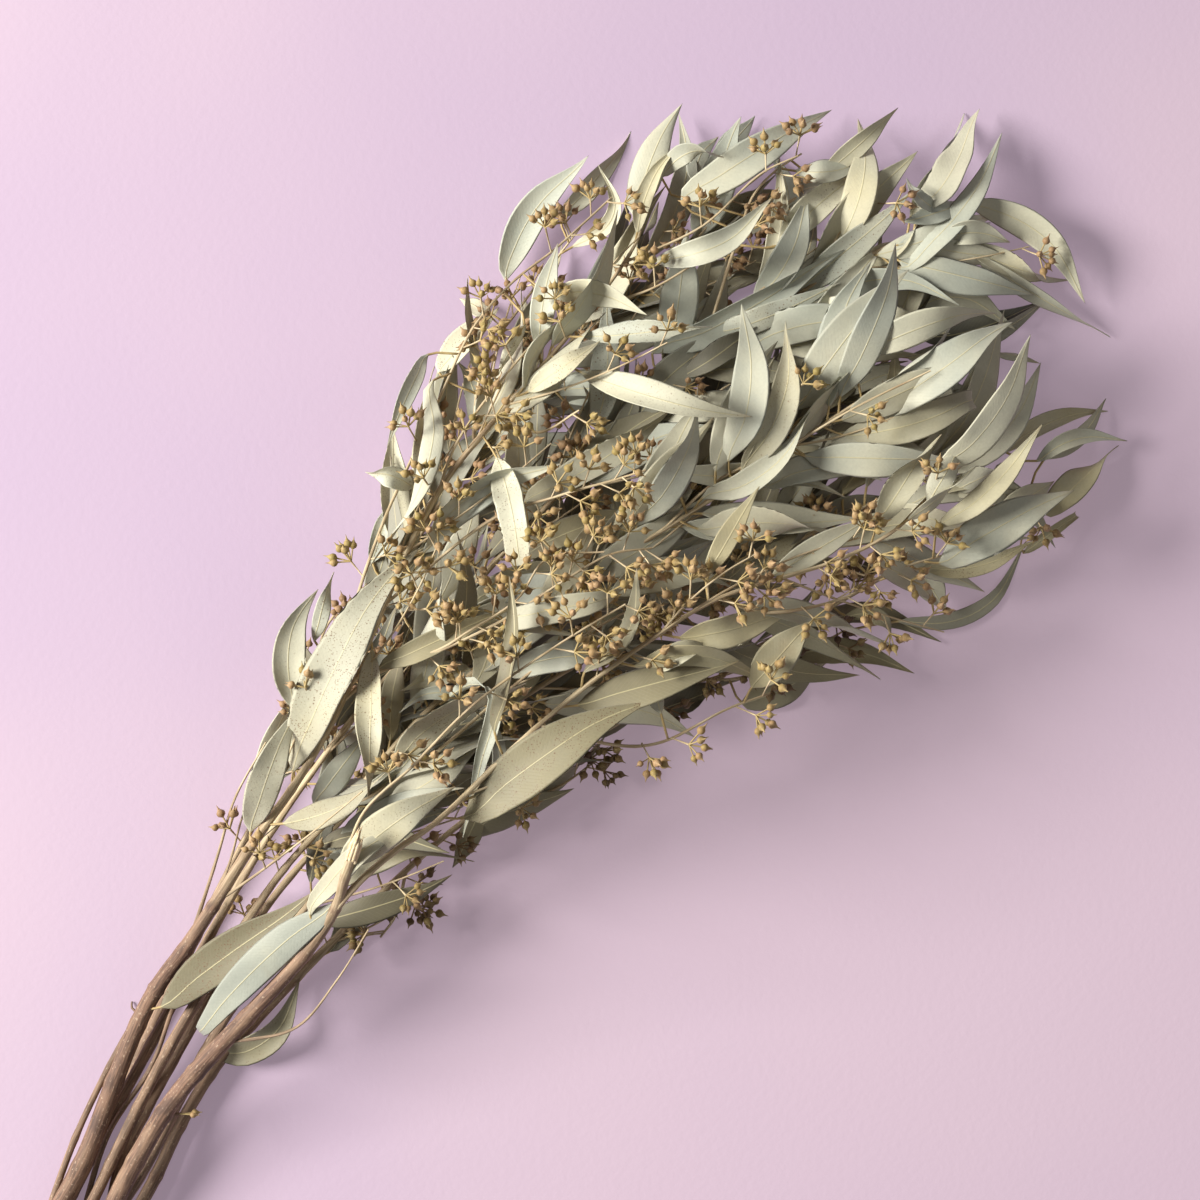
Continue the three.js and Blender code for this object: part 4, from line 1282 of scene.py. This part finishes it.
def leaf_habit(leaf, length, draw):
    """How a blade curls, swirls, waves, leans and hooks. A wide blade is calmer."""
    calm = WIDE_LEAF_CALM if leaf["width"] > WIDE_LEAF else 1.0
    curl = mix(*LEAF_CURL, draw()) * calm
    return {
        "curl": curl,
        "curl_to": curl + mix(*LEAF_CURL, draw()) * calm,
        "swirl": mix(-1, 1, draw()) ** 3 * LEAF_SWIRL * calm,
        "waves": mix(*LEAF_WAVES, draw()),
        "wave": mix(*WAVE_HEIGHT, draw()),
        "phase": draw() * 2 * math.pi,
        "lean": mix(-LEAF_LEAN, LEAF_LEAN, draw()),
        "hook": mix(-1, 1, draw()) * LEAF_HOOK * length,
    }


def leaf_line(leaf, knots, shares, length, hook):
    """The middle of the petiole and blade at these shares of the blade's length."""
    middles = np.array(leaf["middles"])
    lift, _, blunt, curled = leaf["changed"]
    centres = smooth_through(knots, np.vstack([leaf["root"], middles]), shares)
    flat = unit((middles[-1] - middles[0]) * [1, 1, 0])
    sideward = np.array([-flat[1], flat[0], 0])
    hooked = np.clip((shares - HOOK_FROM) / (1 - HOOK_FROM), 0, 1) ** 2
    centres += np.outer(hooked * hook, sideward)
    centres[:, 2] += lift * smooth(shares / LIFTED_BY) - blunt * BLUNT_DROP * hooked
    if curled:
        arc = (1 - CURL_FROM) * length
        angle = np.clip((shares - CURL_FROM) / (1 - CURL_FROM), 0, 1) * curled
        last = np.array([np.interp(CURL_FROM, shares, centres[:, k]) for k in range(3)])
        rolled = last + np.outer(np.sin(angle), flat) * arc / curled
        rolled[:, 2] -= (1 - np.cos(angle)) * arc / curled
        centres = np.where((shares > CURL_FROM)[:, None], rolled, centres)
        leaf["across"] = sideward
    return centres


def leaf_sides(leaf, centres, blade, swirl):
    """The directions across the blade and up from it at each place on its middle line."""
    tangents = np.gradient(centres, axis=0)
    tangents /= np.linalg.norm(tangents, axis=1)[:, None]
    if "across" in leaf:
        left = np.tile(leaf["across"], (len(blade), 1))
    else:
        turning = swirl * smooth((blade - SWIRL_FROM) / (1 - SWIRL_FROM))
        angle = leaf["roll"] + leaf["changed"][1] + leaf["twist"] * blade + turning
        level = np.linalg.norm(tangents[:, :2], axis=1) + 1e-9
        flat = np.stack([-tangents[:, 1] / level, tangents[:, 0] / level], axis=1)
        left = np.column_stack([flat * np.cos(angle)[:, None], np.sin(angle)])
    up = np.cross(tangents, left)
    return left, up / np.linalg.norm(up, axis=1)[:, None]


def leaf_halves(leaf, blade, opened):
    """Half the blade's width and half its thickness at these shares of its length."""
    slimmed = 1 - TIP_SLIMMER * smooth((blade - SLIM_FROM) / (1 - SLIM_FROM))
    widths = np.array([blade_width(u) for u in blade]) * slimmed
    blunt = leaf["changed"][2]
    widths = np.where(blade > WIDEST_AT, mix(widths, BLUNT_WIDTH, blunt), widths)
    half = np.maximum(PETIOLE_HALF, widths * leaf["width"] / 2)
    half = half * (1 - TIP_PINCH * smooth((blade - PINCH_FROM) / (1 - PINCH_FROM)))
    return half, mix(PETIOLE_HALF, LEAF_THICK / 2, opened) * (1 - blade / 2)


def leaf_section(half, thick, blade, opened, habit):
    """How far each corner of each ring lies across the blade and above its middle."""
    turns = np.arange(LEAF_CORNERS) * 2 * math.pi / LEAF_CORNERS
    c, s = np.cos(turns)[None, :], np.sin(turns)[None, :]
    bend = (mix(habit["curl"], habit["curl_to"], blade) * opened)[:, None] * c
    bend = np.where(np.abs(bend) < LEAST_BEND, LEAST_BEND, bend)
    reach = half[:, None] * c * np.sin(bend) / bend * (1 + habit["lean"] * np.sign(c))
    rise = half[:, None] * c * (1 - np.cos(bend)) / bend
    rise -= BLADE_FOLD * (half * opened)[:, None] * (1 - np.abs(c))
    waving = np.sin(2 * math.pi * habit["waves"] * blade + habit["phase"])[:, None]
    waving = (waving + EDGES_APART * np.sign(c)) * np.abs(c) ** 1.5
    rise += (habit["wave"] * half * opened)[:, None] * waving
    on_midrib = np.abs(c) < 0.1
    rise += thick[:, None] * s + (MIDRIB_RISE * opened)[:, None] * s * on_midrib
    return reach, rise, half[:, None] * c


def fine_leaf(skins, leaf, settle, tint, draw):
    """One closed blade on its petiole, folded along the midrib, curled and waved."""
    middles = np.array(leaf["middles"])
    length = np.linalg.norm(np.diff(middles, axis=0), axis=1).sum()
    start = -max(SHORT_PETIOLE, np.linalg.norm(middles[0] - leaf["root"]) / length)
    knots = np.array([start, *leaf.get("stations", BLADE_STATIONS)])
    shares = np.concatenate([
        np.linspace(start, 0, PETIOLE_RINGS, endpoint=False),
        np.linspace(0, LAST_RING, LEAF_RINGS),
        [1.0],
    ])
    blade = np.clip(shares, 0, 1)
    opened = smooth(blade / OPENED_BY)
    habit = leaf_habit(leaf, length, draw)
    centres = let_down_points(leaf_line(leaf, knots, shares, length, habit["hook"]), settle)
    left, up = leaf_sides(leaf, centres, blade, habit["swirl"])
    half, thick = leaf_halves(leaf, blade, opened)
    reach, rise, across = leaf_section(half, thick, blade, opened, habit)
    skin = centres[:, None, :] + left[:, None, :] * reach[:, :, None] + up[:, None, :] * rise[:, :, None]

    rings = len(shares) - 1
    tip = rings * LEAF_CORNERS
    last = tip - LEAF_CORNERS
    faces = ring_faces(rings, LEAF_CORNERS)
    faces += [[last + j, last + (j + 1) % LEAF_CORNERS, tip] for j in range(LEAF_CORNERS)]
    faces.append(list(range(LEAF_CORNERS))[::-1])
    places = np.vstack([skin[:rings].reshape(-1, 3), centres[-1:]])
    along = shares[:rings, None]
    values = np.broadcast_arrays(across[:rings], along * length, along)
    values = np.vstack([np.stack(values, axis=-1).reshape(-1, 3), [0, length, 1]])
    skins.add(places, faces, blade=values, tint=np.tile(tint, (len(places), 1)))


def ring_faces(rings, corners):
    """The faces between rings that follow one another in a list of vertices."""
    faces = []
    for i in range(rings - 1):
        for j in range(corners):
            k = (j + 1) % corners
            a, b = i * corners, (i + 1) * corners
            faces.append([a + j, a + k, b + k, b + j])
    return faces


def ribbon(row, laid):
    """A leaf through chosen points, which may turn back on itself."""
    width, axis, *route = row
    points = [place(spot[:2]) for spot in route]
    for point, spot in zip(points, route):
        point[2] = laid["sheet"](point[0], point[1]) + spot[2]
    walked = np.concatenate([[0], np.cumsum([math.dist(a, b) for a, b in zip(points, points[1:])])])
    return {
        "root": points[0] - unit(points[1] - points[0]) * PETIOLE_BACK,
        "middles": points, "stations": walked / walked[-1], "across": unit(place(axis) - place((0, 0))),
        "width": width, "roll": 0, "twist": 0,
    }


def more_leaves(laid, stem, count, draw):
    """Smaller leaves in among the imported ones, on alternate sides of the upper stem."""
    bare = np.zeros((ROWS, COLUMNS))
    inside = windowed(pile, 1, np.max)
    route = [np.array([x, y, 0.0]) for x, y in stem.get("branch", stem["stem"])]
    leaves = []
    for i in range(count):
        t = mix(*MORE_LEAVES_SPAN, (i + draw()) / count)
        at = through(route, t)
        way = through(route, t + 1e-3) - through(route, t - 1e-3)
        side = 1 if i % 2 else -1
        heading = math.atan2(way[1], way[0]) + side * mix(*MORE_LEAVES_OUT, draw())
        start = mix(*MORE_LEAVES_START, draw())
        length = mix(*MORE_LEAVES_LENGTH, draw())
        c, s = math.cos(heading), math.sin(heading)
        ends = [v for r in (start, start + length) for v in (at[0] + c * r, at[1] + s * r)]
        row = [*ends, length * mix(*MORE_LEAVES_SLIM, draw()), side * mix(*MORE_LEAVES_BOW, draw())]
        loft = stem["loft"] * mix(*MORE_LEAVES_LOFT, draw())
        leaf = leaf_shape(row, laid["woods"], laid["sheet"], bare, loft, False, draw)
        leaf["roll"] *= MORE_LEAVES_ROLL
        leaf["twist"] *= MORE_LEAVES_TWIST
        if all(read_grid(inside, *middle[:2]) > 0 for middle in leaf["middles"][1:]):
            leaves.append(leaf)
    return leaves


def tint_of(index, row, draw):
    """How light, how olive and how specked a leaf is."""
    light = mix(*LIGHTNESS_AND_PAINTED_LIGHT[index], draw())
    olive = mix(*OLIVE_SPAN, draw()) + OLIVE[index]
    specks = mix(*MANY_SPECKS, draw()) if draw() < SPECKED[index] else FEW_SPECKS
    return LOOKS.get((index, row), [light, olive, specks])


# Fine wood


def fine_path(points, radii, draw, raw_ends=(0, 0), step=WOOD_STEP, torn=0):
    """A line of wood with its thickness, its knots and its torn or cut ends."""
    length = np.linalg.norm(np.diff(points, axis=0), axis=1).sum()
    count = max(3, math.ceil(length / step))
    shares = np.linspace(0, 1, count + 1)
    line = np.array([through(points, t) for t in shares])
    radius = np.interp(shares, np.linspace(0, 1, len(radii)), radii)
    radius = radius * (1 - WOOD_SLIMMER * np.array([foliage_share(p[0]) for p in line]))
    knot = KNOT_STEP * mix(*KNOT_SPREAD, draw())
    near_knot = np.abs((shares * length / knot + draw()) % 1 - 0.5) * knot
    radius = radius * (1 + KNOT_SWELL * np.exp(-((near_knot / KNOT_REACH) ** 2)))
    radius *= 1 + UNEVEN * np.array([draw() - 0.5 for _ in shares])
    raw = smooth((shares * length - length + torn) / TORN_FADE + 1) if torn else np.zeros(len(shares))
    for end, amount in zip((0, -1), raw_ends):
        if amount:
            direction = unit(line[end] - line[1 if end == 0 else -2])
            before = 0 if end == 0 else len(line)
            line = np.insert(line, before, line[end] + direction * CUT_DEPTH, axis=0)
            radius = np.insert(radius, before, radius[end])
            raw = np.insert(raw, before, amount)
    along = np.concatenate([[0], np.cumsum(np.linalg.norm(np.diff(line, axis=0), axis=1))])
    old = np.array([1 - foliage_share(p[0]) for p in line])
    bark = np.stack([radius, raw, old], axis=1)
    return line, radius, bark, along + BARK_SHIFT * draw()


def add_path(skins, path, settle):
    """Adds a line of wood, with the thickness and the bark of each of its points."""
    line, radius, bark, along = path
    line = let_down_points(line, settle)
    edges = [[i, i + 1] for i in range(len(line) - 1)]
    skins.add(line, edges, thickness=radius * MM, bark=bark, along=along * MM)


def named_twig(row, laid):
    """A thin twig over chosen points of the plan."""
    thickness, _, *route = row
    points = [place(spot) for spot in route]
    points[0] = nearest_wood(laid["woods"], points[0])
    for i, point in enumerate(points[1:], 1):
        rise = mix(STEM_LOFT, NAMED_TWIG_RISE, i / (len(points) - 1))
        rise = mix(thickness, rise, foliage_share(point[0]))
        point[2] = laid["sheet"](point[0], point[1]) + rise
    return {"points": bridged(points, 2), "radius": [thickness, thickness * NAMED_TWIG_TAPER]}


def more_twigs(laid, stem, count, draw):
    """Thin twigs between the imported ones, leaning forward from the stem."""
    twigs = []
    main = laid["bearers"][-1][0]
    for k in range(count):
        root, tangent = point_on(main, mix(*MORE_TWIGS_SPAN, (k + draw()) / count))
        side = 1 if k % 2 else -1
        heading = math.atan2(tangent[1], tangent[0]) + side * mix(*MORE_TWIGS_OUT, draw())
        turn_back = side * mix(*MORE_TWIGS_BACK, draw())
        length = mix(*MORE_TWIGS_LENGTH, draw())
        rise = mix(*MORE_TWIGS_LOFT, draw()) * stem["loft"]
        points = [root]
        for i in range(1, MORE_TWIGS_STEPS + 1):
            share = i / MORE_TWIGS_STEPS
            way = heading + turn_back * share
            step = np.array([math.cos(way), math.sin(way), 0]) * length / MORE_TWIGS_STEPS
            point = points[-1] + step
            point[2] = laid["sheet"](point[0], point[1]) + mix(STEM_LOFT, rise, share)
            points.append(point)
        twigs.append({"points": bridged(points, 2), "radius": MORE_TWIGS_R})
    return twigs


def splinters(wood, draw):
    """The torn fibres at a snapped end."""
    end = wood["points"][-1]
    way = unit(end - wood["points"][-2])
    left, up = sideways(way)
    paths = []
    for k in range(SPLINTERS):
        turn = k * 2 * math.pi / SPLINTERS
        off = left * math.cos(turn) + up * math.sin(turn)
        start = end - way * mix(*SPLINTER_BACK, draw()) + off * SPLINTER_OFF[0]
        middle = end + off * SPLINTER_OFF[1]
        tip = end + way * mix(*SPLINTER_REACH, draw()) + off * mix(*SPLINTER_SPREAD, draw())
        paths.append(fine_path([start, middle, tip], SPLINTER_R, draw, step=2, torn=SPLINTER_TORN))
    return paths


# Fine umbels


def umbel_ways(umbel, draw):
    """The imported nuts' ways, and more between them, all round the peduncle's end."""
    if "lone" in umbel:
        return umbel["ways"]
    axis = unit(umbel["ways"][0] * UMBEL_FLATTER + UMBEL_LIFT)
    across = unit(np.cross(axis, OFF_AXIS))
    over = np.cross(axis, across)
    ways = list(umbel["ways"])
    start = draw() * NUT_FIRST_TURN
    for k in range(NUTS_IN_UMBEL - len(umbel["ways"])):
        turn = start + k * NUT_TURN
        open_by = mix(*UMBEL_OPEN, draw())
        outward = across * math.cos(turn) + over * math.sin(turn)
        ways.append(axis * math.cos(open_by) + outward * math.sin(open_by))
    return ways


def add_umbel(nuts, wood, umbel, settle, ripe, brown, draw):
    """Adds the peduncle's line to the wood, and an aimed and sized point for each nut."""
    root, hub = let_down_points([umbel["root"], umbel["hub"]], settle)
    middle = (root + hub) / 2 + [0, 0, -PEDUNCLE_SAG * np.linalg.norm(hub - root)]
    path = fine_path([root, middle, hub], FINE_PEDUNCLE_R, draw, step=3)
    add_path(wood, path, (0, 0))
    for way in umbel_ways(umbel, draw):
        size = mix(*NUT_SIZES, draw())
        way[2] = max(way[2], (2 * NUT_BALL_R - hub[2]) / NUT_TIP)
        tint = np.array([[ripe + mix(-RIPE_SPREAD, RIPE_SPREAD, draw()), brown, size]])
        nuts.add(np.array([hub]), [], aim=np.array([way]), size=np.array([size]), nut_tint=tint)


def more_umbels(laid, twigs, draw):
    """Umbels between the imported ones, closest together in the heart of the bunch."""
    heart = place(NUT_HEART)
    near, far = NUT_HEART_REACH
    umbels = []
    main, start, _ = laid["bearers"][-1]
    low = [(main, LOW_NUTS_FROM, start)] if start > LOW_NUTS_FROM else []
    inside = windowed(pile, 1, np.max)
    for wood, start, end in laid["bearers"] + low + [(twig, TWIG_NUTS_FROM, 1.0) for twig in twigs]:
        length = sum(math.dist(a, b) for a, b in zip(wood["points"], wood["points"][1:]))
        at = start * length + FIRST_UMBEL
        side = 1
        while at < end * length:
            spot, _ = point_on(wood, at / length)
            away = math.dist(spot[:2], heart[:2])
            umbel = umbel_shape(wood, at / length, side, laid["sheet"], laid["layer"], draw)
            hub = umbel["hub"]
            if hub[2] < spot[2] + UNDER_LEAF and read_grid(inside, hub[0], hub[1]) > 0:
                umbels.append(umbel)
            step = mix(*MORE_UMBELS_STEP, float(smooth((away - near) / (far - near))))
            at += step * mix(*UMBELS_UNEVEN, draw())
            side = -side
    return umbels


def lone_nuts(route, laid):
    """A short stalk with two nuts, close to the bare foot of a stem."""
    start, end = [place(spot) for spot in route]
    root = nearest_wood(laid["woods"], start)
    hub = end + [0, 0, root[2]]
    way = unit(hub - root)
    return {"root": root, "hub": hub, "ways": [way, unit(way + SECOND_NUT)], "lone": True}


# Geometry Nodes that make the wood and the nuts


def geometry_tree(name, numbers):
    """An empty tree with a geometry, a material and these numbers as its named inputs."""
    tree = bpy.data.node_groups.new(name, "GeometryNodeTree")
    tree.interface.new_socket("Geometry", in_out="INPUT", socket_type="NodeSocketGeometry")
    for key, value in numbers.items():
        kind = "NodeSocketInt" if isinstance(value, int) else "NodeSocketFloat"
        tree.interface.new_socket(key, in_out="INPUT", socket_type=kind).default_value = value
    tree.interface.new_socket("Material", in_out="INPUT", socket_type="NodeSocketMaterial")
    tree.interface.new_socket("Geometry", in_out="OUTPUT", socket_type="NodeSocketGeometry")
    return tree, node(tree, "NodeGroupInput", {}, {})


def close_tree(tree, source, geometry):
    """Ends a tree with smooth shading, the given material and the output."""
    real = node(tree, "GeometryNodeRealizeInstances", {}, {0: geometry})
    smoothed = node(tree, "GeometryNodeSetShadeSmooth", {}, {0: real})
    sockets = {"Geometry": smoothed, "Material": source.out("Material")}
    finished = node(tree, "GeometryNodeSetMaterial", {}, sockets)
    out = tree.nodes.new("NodeGroupOutput")
    tree.links.new(finished.socket, out.inputs[0])
    return tree


def named(tree, name, kind="FLOAT"):
    return node(tree, "GeometryNodeInputNamedAttribute", {"data_type": kind}, {"Name": name})


def rounded(tree, source, line, thickness):
    """A closed skin round a line, with as many sides as the tree is given."""
    sockets = {"Resolution": source.out("Sides"), "Radius": 1.0}
    profile = node(tree, "GeometryNodeCurvePrimitiveCircle", {}, sockets)
    where = node(tree, "GeometryNodeInputPosition", {}, {})
    sockets = {"Geometry": profile, "Name": "round", "Value": where}
    profile = node(tree, "GeometryNodeStoreNamedAttribute", {"data_type": "FLOAT_VECTOR"}, sockets)
    sockets = {"Curve": line, "Profile Curve": profile, "Scale": thickness, "Fill Caps": True}
    return node(tree, "GeometryNodeCurveToMesh", {}, sockets)


def wood_tree():
    """Rounds every line of the mesh into wood as thick as its points say."""
    tree, source = geometry_tree("round_wood", {"Sides": SIDES_OF_WOOD})
    lines = node(tree, "GeometryNodeMeshToCurve", {}, {"Mesh": source})
    return close_tree(tree, source, rounded(tree, source, lines, named(tree, "thickness")))


def turned(tree, source, start, end, rings, outline, shares):
    """A length turned on its own axis. Its skin carries the shares of the whole, nut_share."""
    ends = [node(tree, "ShaderNodeCombineXYZ", {}, {2: source.out(at)}) for at in (start, end)]
    line = node(tree, "GeometryNodeCurvePrimitiveLine", {}, {"Start": ends[0], "End": ends[1]})
    line = node(tree, "GeometryNodeResampleCurve", {}, {"Curve": line, "Count": source.out(rings)})
    share = node(tree, "GeometryNodeSplineParameter", {}, {})
    value = share * (shares[1] - shares[0]) + shares[0]
    sockets = {"Geometry": line, "Name": "nut_share", "Value": value}
    line = node(tree, "GeometryNodeStoreNamedAttribute", {"data_type": "FLOAT"}, sockets)
    curve = node(tree, "ShaderNodeFloatCurve", {}, {"Value": share})
    mapping = curve.socket.node.mapping
    for i, point in enumerate(outline):
        at = mapping.curves[0].points[i] if i < 2 else mapping.curves[0].points.new(*point)
        at.location = point
    mapping.update()
    return rounded(tree, source, line, curve * source.out("Radius"))


def nut_tree():
    """Sets a stalked, beaked nut on every point, aimed and sized as the point says."""
    numbers = {
        "Start": 0.0, "Neck": NUT_NECK * MM, "Tip": NUT_TIP * MM,
        "Radius": NUT_BALL_R * MM, "Sides": NUT_SIDES, "Rings": NUT_RINGS, "Stalk Rings": STALK_RINGS,
    }
    tree, source = geometry_tree("gum_nuts", numbers)
    stalk = turned(tree, source, "Start", "Neck", "Stalk Rings", STALK_OUTLINE, STALK_SHARES)
    nut = turned(tree, source, "Neck", "Tip", "Rings", NUT_OUTLINE, NUT_SHARES)
    nut = node(tree, "GeometryNodeMergeByDistance", {}, {"Geometry": nut, "Distance": MERGE_M})
    join = tree.nodes.new("GeometryNodeJoinGeometry")
    for part in (nut, stalk):
        tree.links.new(part.socket, join.inputs[0])
    whole = Value(tree, join.outputs[0])
    sockets = {"Vector": named(tree, "aim", "FLOAT_VECTOR")}
    aim = node(tree, "FunctionNodeAlignRotationToVector", {"axis": "Z"}, sockets)
    sockets = {"Points": source, "Instance": whole, "Rotation": aim, "Scale": named(tree, "size")}
    nuts = node(tree, "GeometryNodeInstanceOnPoints", {}, sockets)
    return close_tree(tree, source, nuts)


def made_by(tree, name, mesh, material):
    """Runs a tree on a mesh and returns the plain mesh that comes out, as a new object."""
    seed = bpy.data.objects.new(name + ".seed", mesh)
    bpy.context.collection.objects.link(seed)
    modifier = seed.modifiers.new("grown", "NODES")
    modifier.node_group = tree
    inputs = {item.name: item.identifier for item in tree.interface.items_tree if item.in_out == "INPUT"}
    modifier[inputs["Material"]] = material
    evaluated = seed.evaluated_get(bpy.context.evaluated_depsgraph_get())
    plain = bpy.data.meshes.new_from_object(evaluated)
    seed.modifiers.remove(modifier)
    bpy.data.objects.remove(seed)
    plain.name = name
    for corner in plain.vertices:
        corner.co.z = max(corner.co.z, FLOOR_GAP * MM)
    return show(name, plain)


# The pieces of each stem

LEAF = leaf_finish()
WOOD = wood_finish()
NUTS = nut_finish()
ROUND_WOOD = wood_tree()
GUM_NUTS = nut_tree()


def leaf_piece(index, stem, laid):
    """All the leaves of a stem as one mesh."""
    draw = stream(LEAF_SEED + index)
    leaves = Skins()
    packed = len(laid["leaves"])
    added = more_leaves(laid, stem, MORE_LEAVES[index], draw)
    added += [ribbon(row, laid) for row in RIBBONS.get(index, [])]
    for i, leaf in enumerate(laid["leaves"] + added):
        leaf["changed"] = CHANGED.get((index, i), (0, 0, 0, 0))
        tint = tint_of(index, i, draw)
        if packed <= i < packed + DEEP_LEAVES[index]:
            # Painted shade: the leaves deep in the stem's shade are made darker and more olive.
            tint[0] *= mix(*DEEP_PAINTED_SHADE, draw())
            tint[1] += DEEP_SHADE_OLIVE
        fine_leaf(leaves, leaf, laid["settle"], tint, draw)
    mesh = leaves.mesh(stem["name"] + ".leaves")
    mesh.polygons.foreach_set("use_smooth", [True] * len(mesh.polygons))
    mesh.update()
    return show(stem["name"] + ".leaves", mesh, LEAF)


def wood_lines(index, stem, laid):
    """The lines of the stem's wood, and the thin twigs that bear nuts."""
    draw = stream(WOOD_SEED + index)
    wood = Skins()
    twigs = more_twigs(laid, stem, MORE_TWIGS[index], draw)
    rows = NAMED_TWIGS.get(index, [])
    twigs += [named_twig(row, laid) for row in rows if row[1]]
    bare_twigs = [named_twig(row, laid) for row in rows if not row[1]]
    for i, coarse in enumerate(laid["woods"] + twigs + bare_twigs):
        ends = (1, 0) if i == 0 else (0, 0)
        torn = 0
        if i == 0 and "branch" in stem:
            ends = (1, 1)
            torn = TORN
            coarse["points"][-1][2] += STUMP_RISE
            coarse["points"][-2][2] += STUMP_RISE / 2
            for path in splinters(coarse, draw):
                add_path(wood, path, laid["settle"])
        path = fine_path(coarse["points"], coarse["radius"], draw, raw_ends=ends, torn=torn)
        add_path(wood, path, laid["settle"])
    return wood, twigs


def dress(index, stem, laid):
    """Makes the leaves, the wood and the nuts of a stem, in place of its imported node."""
    name = stem["name"]
    leaves = leaf_piece(index, stem, laid)
    wood, twigs = wood_lines(index, stem, laid)

    draw = stream(NUT_SEED + index)
    nuts = Skins()
    umbels = laid["umbels"] + more_umbels(laid, twigs, draw)
    umbels += [lone_nuts(route, laid) for route in LONE_NUTS.get(index, [])]
    for umbel in umbels:
        brown = BROWN_NUTS[index] * mix(*BROWN_SPREAD, draw())
        add_umbel(nuts, wood, umbel, laid["settle"], RIPE[index], brown, draw)

    wood = made_by(ROUND_WOOD, name + ".wood", wood.mesh(name, edges=True), WOOD)
    nuts = made_by(GUM_NUTS, name + ".nuts", nuts.mesh(name, edges=True), NUTS)
    for piece in (leaves, wood, nuts):
        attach(piece, "root")
        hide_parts(name)
        "sprig_" + str(index + 1)


for index, (stem, laid) in enumerate(zip(STEMS, bunch)):
    dress(index, stem, laid)


# The floor, the light and the camera


def floor():
    """Pale paper that glows with painted light, and that painted shade darkens below the key lamp, past
    the edge of the view.
    """
    finish = Finish("pale_paper", roughness=0.9, emission_strength=FLOOR_GLOW)
    cloudy = finish.noise(1.6, 3)
    fine = finish.noise(260, 3)
    paper = blend(cloudy.rising(0.35, 0.65), colour("a693a5"), colour("b09ca8"))
    x, y, _ = finish.split(finish.spot())
    to_lamp = y * TO_LAMP[1] + x * TO_LAMP[0]
    # Painted shade: the paper darkens towards the key lamp, where the lamp lights it most.
    paper = blend(to_lamp.rising(*FLOOR_PAINTED_SHADE_SPAN) * FLOOR_PAINTED_SHADE_MOST, paper, colour("2a252a"))
    # The paper glows in its own colour: painted light that fills the shadows cast on it.
    finish.link(base_color=paper, emission_color=paper)
    finish.bump(fine, 0.0004, 0.3)
    made = bpy.data.meshes.new("floor")
    corners = [(x, y, 0) for x, y in ((-1, -1), (1, -1), (1, 1), (-1, 1))]
    made.from_pydata((np.array(corners) * FLOOR_HALF).tolist(), [], [[0, 1, 2, 3]])
    show("floor", made, finish.material)


def lamp(name, place_at, width, power, tint):
    """A round lamp that faces the middle of the bunch."""
    data = bpy.data.lights.new(name, "AREA")
    data.shape = "DISK"
    data.size = width
    data.energy = power
    data.color = tint
    made = bpy.data.objects.new(name, data)
    made.location = place_at
    made.rotation_euler = (-Vector(place_at)).to_track_quat("-Z", "Y").to_euler()
    bpy.context.collection.objects.link(made)


def room_light():
    world = bpy.data.worlds.new("room")
    world.use_nodes = True
    background = world.node_tree.nodes["Background"].inputs
    background["Color"].default_value = (1, 0.97, 1, 1)
    background["Strength"].default_value = ROOM_LIGHT
    bpy.context.scene.world = world


def camera():
    """Looks straight down. At VIEW_LEVEL the plan's square fills the frame."""
    data = bpy.data.cameras.new("camera")
    data.sensor_width = 36
    data.lens = data.sensor_width * (VIEW_HEIGHT - VIEW_LEVEL) / VIEW_WIDTH
    made = bpy.data.objects.new("camera", data)
    made.location = (place(VIEW_CENTRE) + [*CENTRING, VIEW_HEIGHT]) * MM
    made.rotation_euler = (0, 0, PLAN_TURN)
    bpy.context.collection.objects.link(made)
    bpy.context.scene.camera = made


floor()
lamp("key", **KEY_LAMP)
lamp("fill", **FILL_LAMP)
room_light()
camera()
bpy.context.scene.view_settings.view_transform = "Standard"
